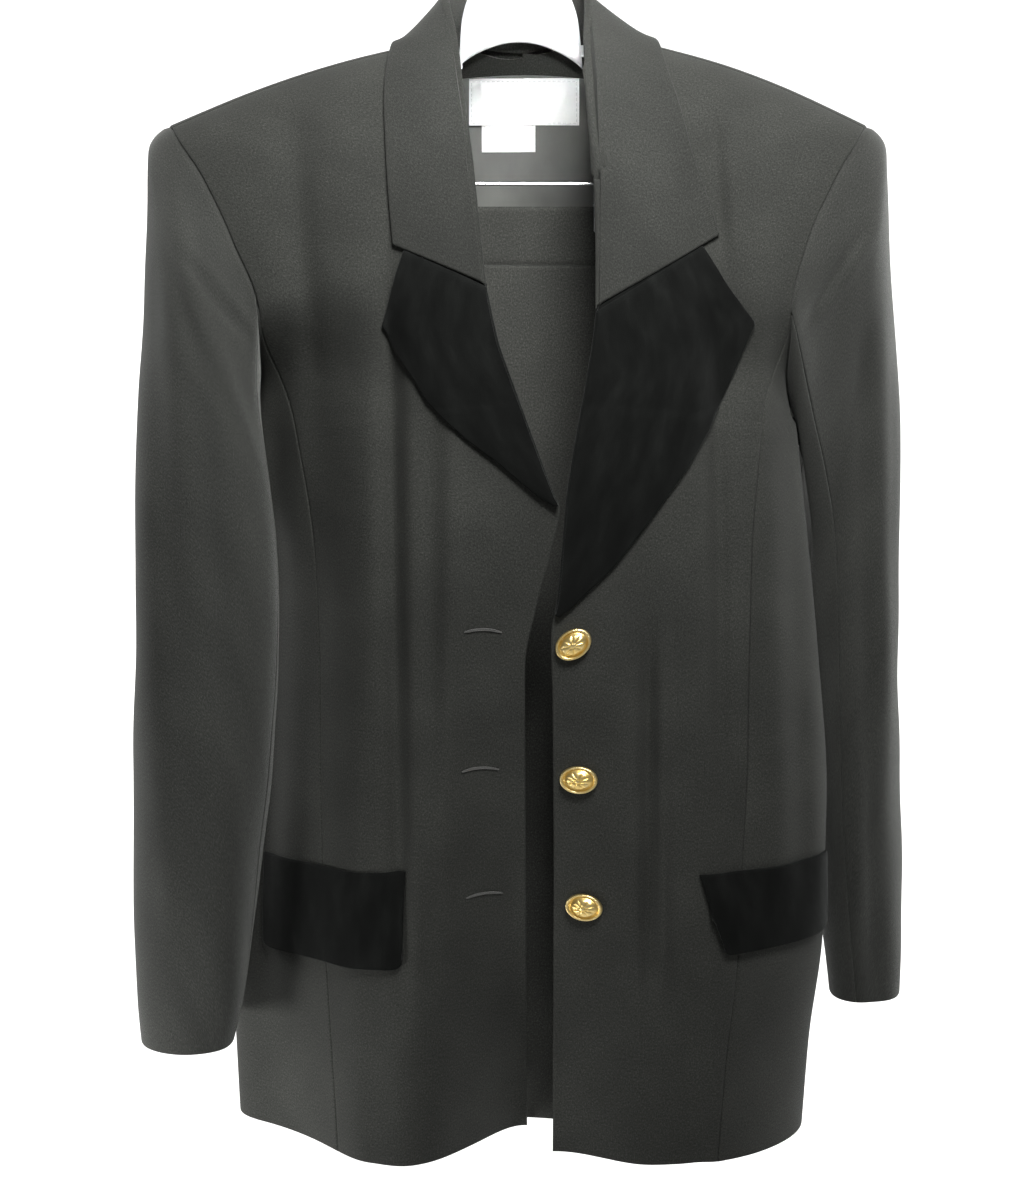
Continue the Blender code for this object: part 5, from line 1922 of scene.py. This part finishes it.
@dataclass
class Buttonholes:
    """Worked buttonholes on the left front."""

    thread: Material
    half: float = 0.0110
    half_gap: float = 0.00045
    bow: float = 0.0016
    cord: float = 0.00042
    lift: float = 0.0004
    places: tuple[Place, ...] = (
        (-0.0212, -0.4790, -0.06), (-0.0232, -0.5665, -0.04), (-0.0210, -0.6490, -0.03),
    )

    def build(self) -> None:
        """Builds the three buttonholes."""
        for number, (x, z, tilt) in enumerate(self.places, 1):
            angle = np.linspace(0, 2 * math.pi, 90, endpoint=False)
            wide = self.half * np.sign(np.cos(angle)) * np.abs(np.cos(angle)) ** 0.8
            bow = -self.bow * (wide / self.half) ** 2
            high = self.half_gap * np.sin(angle) + bow + tilt * wide
            path = FORM.on(Side.LEFT, x + wide, z + high, True, self.lift)
            points, faces = tube_mesh(path, self.cord, 10, True)
            piece = new_mesh(f"buttonhole_{number}", points, faces, self.thread)
            put_on(piece)


@dataclass
class BackLining:
    """Satin that lines the top of the back."""

    satin: Material
    left_x: float = -0.115
    width: float = 0.236
    middle_x: float = 0.002
    neck_half: float = 0.066
    top_z: float = -0.1445
    low_z: float = -0.330
    neck_dip: float = 0.006
    slope: float = 0.14
    behind: float = 0.0022

    def build(self) -> None:
        """Builds the lining."""
        x = (self.left_x + self.width * lines(60, self.width))[None, :]
        f = lines(50, 0.19)[:, None]
        neck = np.maximum(1 - np.abs((x - self.middle_x) / self.neck_half) ** 2, 0.0)
        past_neck = np.maximum(np.abs(x - self.middle_x) - self.neck_half, 0.0)
        top = self.top_z - self.neck_dip * (1 - neck) - self.slope * past_neck
        z = top + (self.low_z - top) * f
        x, z = np.broadcast_arrays(x, z)
        points, outs = [], []
        for side in Side:
            a, t = FORM.find(side, x, z, False)
            out = FORM.outward(side, a, t)
            points.append(FORM.place(side, a, t) - out * (CLOTH + self.behind))
            outs.append(out)
        left = (x < MIDDLE_BACK_X)[..., None]
        outer, outward = np.where(left, *points), np.where(left, *outs)
        shell = Shell("back_lining_satin", outer, outward, SATIN, self.satin)
        put_on_cloth(shell, "back_lining")


@dataclass
class NeckLabel:
    """A plain woven label and its small tab, sewn to the lining and left blank."""

    ribbon: Material
    stitch: Material
    off_cloth: float = 0.0052
    thick: float = 0.0004
    inset: float = 0.0016
    stitch_pitch: float = 0.0030
    stitch_radius: float = 0.00018
    stitch_lift: float = 0.0001

    def patch(self, name: str, x: tuple[float, float], z: tuple[float, float], lift: float) -> None:
        """Sews one piece of ribbon on, with running stitches near its edge.

        Args:
            name: Name of the piece.
            x: Its left and right edges.
            z: Its top and bottom edges.
            lift: Height above the first ribbon.
        """
        across = (x[0] + (x[1] - x[0]) * lines(26, x[1] - x[0]))[None, :]
        down = (z[0] + (z[1] - z[0]) * lines(14, z[0] - z[1]))[:, None]
        across, down = np.broadcast_arrays(across, down)
        far = self.off_cloth + lift
        outer = FORM.on_either(across, down, False, -far)
        outward = FORM.on_either(across, down, False, -far - 1.0) - outer
        shell = Shell(name, outer, unit(outward), self.thick, self.ribbon, hold=Hold.STRETCHED)
        put_on_cloth(shell, "")
        left, right = x[0] + self.inset, x[1] - self.inset
        top, low = z[0] - self.inset, z[1] + self.inset
        corners = [(left, top), (right, top), (right, low), (left, low), (left, top)]
        points, faces = [], []
        for (x0, z0), (x1, z1) in zip(corners, corners[1:]):
            count = max(int(math.hypot(x1 - x0, z1 - z0) / self.stitch_pitch), 1)
            for k in range(count):
                run = (k + np.linspace(0.15, 0.75, 4)) / count
                across, down = x0 + (x1 - x0) * run, z0 + (z1 - z0) * run
                path = FORM.on_either(across, down, False, -far - self.stitch_lift)
                some, more = tube_mesh(path, self.stitch_radius, 6, False)
                start = sum(len(group) for group in points)
                points.append(some.reshape(-1, 3))
                faces += [[start + index for index in face] for face in more]
        put_on(new_mesh(name + "_stitches", np.concatenate(points), faces, self.stitch))

    def build(self) -> None:
        """Builds the label and its tab."""
        self.patch("neck_label_tab", (-0.0236, 0.0120), (-0.1735, -0.1930), 0.0)
        self.patch("neck_label", (-0.0320, 0.0397), (-0.1458, -0.1755), 0.0008)


# The skirt and the hanger


@dataclass
class Skirt:
    """The straight skirt and its waistband."""

    wool: Material
    middle_x: float = 0.003
    band_half: float = 0.1560
    band_depth: float = 0.0070
    band_z: tuple[float, float] = (-0.229, -0.265)
    band_roll: float = 0.0007
    band_count: int = 180
    top_z: float = -0.2656
    length: float = 0.5504
    hang: float = 0.0040
    sizes: Table = fixed(Table(
        "z half depth",
        (-0.2680, 0.1560, 0.0075), (-0.3600, 0.1570, 0.0140), (-0.4700, 0.1590, 0.0230),
        (-0.6400, 0.1620, 0.0300), (-0.8160, 0.1630, 0.0330),
    ))

    def points(self, turn: Array, z: Array) -> Array:
        """Points of the skirt.

        Args:
            turn: Places round it, from the left side by the front.
            z: Heights.

        Returns:
            A point for each place.
        """
        angle = 2 * math.pi * turn
        x = self.middle_x - self.sizes.read("half", z) * np.cos(angle)
        bulge = np.abs(np.sin(angle)) ** 0.8 * np.sign(np.sin(angle))
        y = -self.sizes.read("depth", z) * bulge
        y = y + self.hang * ease(-0.30, -0.62, z) * np.sin(x * 62 + 1.4) * np.abs(np.sin(angle))
        y = y + ripple(x, y, z, 5.0) * np.abs(np.sin(angle)) * 0.8
        return np.stack([x, y, z], -1)

    def half(self, name: str, start: float) -> Piece:
        """Builds the front or the back of the skirt.

        Args:
            name: Name of the solid that it stands for.
            start: Place round the skirt where it starts.

        Returns:
            The new piece.
        """
        turn = (start + 0.5 * lines(64, 0.31))[None, :]
        z = (self.top_z - self.length * lines(110, 0.55))[:, None]
        turn, z = np.broadcast_arrays(turn, z)
        outer = self.points(turn, z)
        over = self.points(turn + 0.004, z) - self.points(turn - 0.004, z)
        down = self.points(turn, z - 0.002) - self.points(turn, z + 0.002)
        outward = unit(np.cross(over, down))
        outward = outward * np.where(outward[..., 1:2] * outer[..., 1:2] < 0, -1.0, 1.0)
        for column in (0, -1):
            away = np.sign(outer[:, column, 0] - self.middle_x)
            outward[:, column] = np.stack([away, 0 * away, 0 * away], -1)
        shell = Shell(name + "_cloth", outer, outward, CLOTH, self.wool)
        return put_on_cloth(shell, name)

    def band(self) -> Piece:
        """Builds the waistband, rolled at its top and its seam.

        Returns:
            The new piece.
        """
        top, low = self.band_z
        part = lines(10, top - low)[:, None]
        angle = (2 * math.pi * (np.arange(self.band_count) + 0.5) / self.band_count)[None, :]
        c, s = np.cos(angle), np.sin(angle)
        from_edge = np.minimum(part, 1 - part) * (top - low)
        drop = self.band_roll * (1 - ease(0.0, 0.0026, from_edge))
        x = self.middle_x + (self.band_half - drop) * np.sign(c) * np.abs(c) ** 0.85
        y = (self.band_depth - drop) * np.sign(s) * np.abs(s) ** 0.45
        z = top + (low - top) * part + 0 * angle
        outer = np.stack([x, y, z], -1)
        out = np.stack([c * np.abs(c) ** 3, np.sign(s) * np.abs(s) ** 0.6, 0 * c], -1)
        outward = np.broadcast_to(unit(out), outer.shape)
        shell = Shell("waistband_cloth", outer, outward, CLOTH, self.wool, ring=True)
        return put_on_cloth(shell, "waistband")

    def build(self) -> None:
        """Builds the skirt."""
        self.half("skirt_front", 0.0)
        self.half("skirt_back", 0.5)
        self.band()


@dataclass
class Hanger:
    """A moulded hanger: a ribbed neck plate over an arch, and arms under the shoulders."""

    plastic: Material
    arm_end: float = 0.2000
    arm_height: float = 0.0130
    arm_half: float = 0.0055
    arm_start: float = 0.0345
    arm_count: int = 48
    plate_half: float = 0.0030
    rim: float = 0.0042
    rim_raise: float = 0.0018
    rib_pitch: float = 0.0062
    top_z: float = -0.0795
    arch_right_x: float = 0.0395
    arch_width: float = 0.0750
    arch_z: float = -0.1450
    arch_rise: float = 0.0150
    sides: Table = fixed(Table(
        "z left right",
        (-0.1440, -0.0366, 0.0398), (-0.1180, -0.0350, 0.0372), (-0.1020, -0.0308, 0.0322),
        (-0.0930, -0.0245, 0.0250), (-0.0860, -0.0160, 0.0162), (-0.0795, -0.0110, 0.0110),
    ))

    def arch(self, x: Array) -> Array:
        """Height of the arch's lower edge."""
        f = np.clip((self.arch_right_x - x) / self.arch_width, 0.0, 1.0)
        return self.arch_z + 0.0022 * f + self.arch_rise * np.sin(math.pi * f) ** 0.8

    def plate(self) -> Piece:
        """Builds the neck plate with its raised rim and ribs.

        Returns:
            The new piece.
        """
        f, g = lines(90, 0.075)[None, :], lines(70, 0.062)[:, None]
        z = self.top_z + 0 * f - 0.0605 * g
        for _ in range(3):
            left, right = self.sides.read("left", z), self.sides.read("right", z)
            x = left + (right - left) * f
            z = self.top_z + (self.arch(x) - self.top_z) * g
        near_side = np.minimum(x - left, right - x)
        near_low = z - self.arch(x)
        rim = 1 - ease(self.rim * 0.75, self.rim, np.minimum(near_side, near_low))
        ribs = np.abs(np.cos(math.pi * x / self.rib_pitch)) ** 5 * (1 - rim)
        y = -self.plate_half + 0.0016 - self.rim_raise * rim - 0.0011 * ribs
        outer = np.stack([x, y, z], -1)
        outward = np.broadcast_to([0.0, -1.0, 0.0], outer.shape)
        shell = Shell("hanger_neck_plate", outer, outward, 2 * self.plate_half, self.plastic, roll=0.30)
        return put_on(shell.build(), ("hanger",))

    def arm(self, side: Side) -> Piece:
        """Builds one arm: a beam with a flange along its top and its bottom.

        Args:
            side: Side of the garment.

        Returns:
            The new piece.
        """
        reach = self.arm_start + (self.arm_end - self.arm_start) * lines(90, 0.16)
        x = reach * side.sign
        end = ease(0.0, 0.03, self.arm_end - reach)
        neck = ease(0.062, 0.040, reach)
        under = np.array([FORM.on_ridge(float(side.sign * max(r, 0.045)))[2] for r in reach])
        clear = CLOTH + 0.0006 + 0.0060 * ease(0.19, 0.10, reach)
        high = self.arm_height * (0.45 + 0.55 * end) / 2 * (1 - 0.45 * neck)
        middle = under - clear - high - 0.0030 * neck
        wide = self.arm_half * (0.45 + 0.55 * end) * (1 - 0.42 * neck)
        angle = np.linspace(0, 2 * math.pi, self.arm_count, endpoint=False)
        c, s = np.cos(angle), np.sin(angle)
        web = 0.45 + 0.55 * np.abs(s) ** 3
        across = np.sign(c) * np.abs(c) ** 0.5 * np.where(np.abs(s) < 0.98, web, 1.0)
        up = np.sign(s) * np.abs(s) ** 0.7
        points = np.stack(
            [
                np.broadcast_to(x[:, None], (len(x), self.arm_count)),
                wide[:, None] * across,
                middle[:, None] + high[:, None] * up,
            ],
            -1,
        )
        faces = ring_faces(*points.shape[:2])
        if side is Side.LEFT:
            faces = [face[::-1] for face in faces]
        piece = new_mesh(f"hanger_{side.word}_arm", points, faces, self.plastic)
        return put_on(piece, ("hanger",))

    def build(self) -> None:
        """Builds the hanger."""
        self.plate()
        for side in Side:
            self.arm(side)


@dataclass
class Fittings:
    """The hook, bar and clips, kept from the part with their finishes."""

    plastic: Material
    steel: Material

    def dress(self) -> None:
        """Gives each solid its finish."""
        for names, finish in (
            (("clip_left", "clip_right"), self.plastic),
            (("hook", "skirt_bar"), self.steel),
        ):
            for name in names:
                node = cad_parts[name]
                node.data.materials.clear()
                node.data.materials.append(finish)
                node.data.shade_smooth()
                node.data.set_sharp_from_angle(angle=math.radians(40))
                LOG.info("%s: finished", name)


# The studio


@dataclass
class Studio:
    """Camera, soft light and a pale sweep of paper behind the suit."""

    lens: float = 71.1
    camera_place: Place = (-0.0041, -1.50, -0.227)
    tilt: float = math.radians(80.5)
    floor_z: float = -1.20
    curve_start_y: float = 1.6
    curve_radius: float = 1.2
    curve_steps: int = 12
    world_strength: float = 0.16

    def camera(self) -> None:
        """Places the camera at the photograph's angle."""
        data = bpy.data.cameras.new("camera")
        data.lens = self.lens
        data.sensor_width = 36.0
        data.clip_start, data.clip_end = 0.05, 50.0
        camera = bpy.data.objects.new("camera", data)
        camera.location = self.camera_place
        camera.rotation_euler = (self.tilt, 0.0, 0.0)
        bpy.context.scene.collection.objects.link(camera)
        bpy.context.scene.camera = camera

    def lamp(
        self, name: str, place: Place, aim: Place, size: float, power: float, spread: float = 180.0
    ) -> None:
        """Adds a square soft light that faces a point.

        Args:
            name: Name of the lamp.
            place: Where it is.
            aim: The point that it faces.
            size: Its side, in metres.
            power: Its power, in watts.
            spread: Angle that its light fans out to, in degrees.
        """
        data = bpy.data.lights.new(name, "AREA")
        data.energy, data.size, data.spread = power, size, math.radians(spread)
        lamp = bpy.data.objects.new(name, data)
        lamp.location = place
        run = np.array(aim, float) - np.array(place, float)
        flat = math.hypot(run[0], run[1])
        lamp.rotation_euler = (math.atan2(flat, -run[2]), 0.0, math.atan2(-run[0], run[1]))
        bpy.context.scene.collection.objects.link(lamp)

    def sweep(self) -> None:
        """Lays a floor that curves up into a backdrop."""
        start, radius = self.curve_start_y, self.curve_radius
        profile = [(-4.0, self.floor_z), (start, self.floor_z)]
        for k in range(1, self.curve_steps + 1):
            angle = HALF_TURN * k / self.curve_steps
            height = self.floor_z + radius * (1 - math.cos(angle))
            profile.append((start + radius * math.sin(angle), height))
        profile.append((start + radius, 4.0))
        points = [(x, y, z) for x in (-6.0, 6.0) for y, z in profile]
        count = len(profile)
        faces = [[k, k + 1, k + 1 + count, k + count] for k in range(count - 1)]
        sweep = new_mesh("sweep", np.array(points), faces, StageFinish().make())

    def light(self) -> None:
        """Sets the world and the lamps."""
        world = bpy.data.worlds.new("studio")
        bpy.context.scene.world = world
        world.use_nodes = True
        background = world.node_tree.nodes["Background"]
        background.inputs["Color"].default_value = (1.0, 1.0, 1.0, 1.0)
        background.inputs["Strength"].default_value = self.world_strength
        self.lamp("key", (0.17, -0.72, 0.46), (0.0, 0.0, -0.07), 0.45, 6.2, 80.0)
        self.lamp("rim_right", (1.25, 1.05, 0.10), (0.1, 0.0, -0.35), 0.7, 9.0)
        self.lamp("rim_left", (-1.3, 0.50, -0.30), (-0.1, 0.0, -0.50), 0.6, 3.0)
        self.lamp("low", (-0.62, -0.42, -0.95), (-0.215, -0.05, -0.790), 0.20, 0.30, 42.0)
        self.lamp("neck", (0.01, -0.85, -0.06), (0.004, 0.05, -0.150), 0.06, 0.030, 9.0)
        for side in Side:
            self.lamp("sweep_" + side.word, (1.9 * side.sign, 0.9, 0.4), (0.0, 2.6, -0.6), 1.5, 60.0)
        bpy.context.scene.view_settings.view_transform = "Standard"

    def build(self) -> None:
        """Sets up the studio."""
        self.camera()
        self.sweep()
        self.light()


def main() -> None:
    """Builds the suit piece by piece, then sets up the studio."""
    logging.basicConfig(level=logging.INFO, format="%(message)s")
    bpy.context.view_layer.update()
    wool = WoolFinish("charcoal_wool_twill").make()
    sleeve_wool = WoolFinish("charcoal_wool_sleeve", (0.0290, 0.0300, 0.0270), 0.17).make()
    # Painted shade: the collar's wool is the body's wool made darker, to stand for shade on the collar.
    painted_shade_collar_wool = WoolFinish("charcoal_wool_collar", (0.0236, 0.0245, 0.0218), 0.06).make()
    skirt_wool = WoolFinish("charcoal_wool_skirt", (0.036, 0.037, 0.033), 0.20).make()
    velvet = VelvetFinish().make()
    jacket = JacketBody(wool)
    jacket.build()
    Sleeves(sleeve_wool).build()
    Collar(painted_shade_collar_wool, jacket).build()
    Lapels(velvet).build()
    PocketFlaps(velvet).build()
    Buttons(GiltFinish().make()).build()
    Buttonholes(ThreadFinish("buttonhole_thread", (0.065, 0.065, 0.061)).make()).build()
    BackLining(SatinFinish().make()).build()
    stitch = ThreadFinish("label_thread", (0.55, 0.56, 0.56)).make()
    NeckLabel(RibbonFinish().make(), stitch).build()
    Skirt(skirt_wool).build()
    plastic = PlasticFinish().make()
    Hanger(plastic).build()
    Fittings(plastic, SteelFinish().make()).dress()
    Studio().build()


if __name__ == "__main__":
    main()
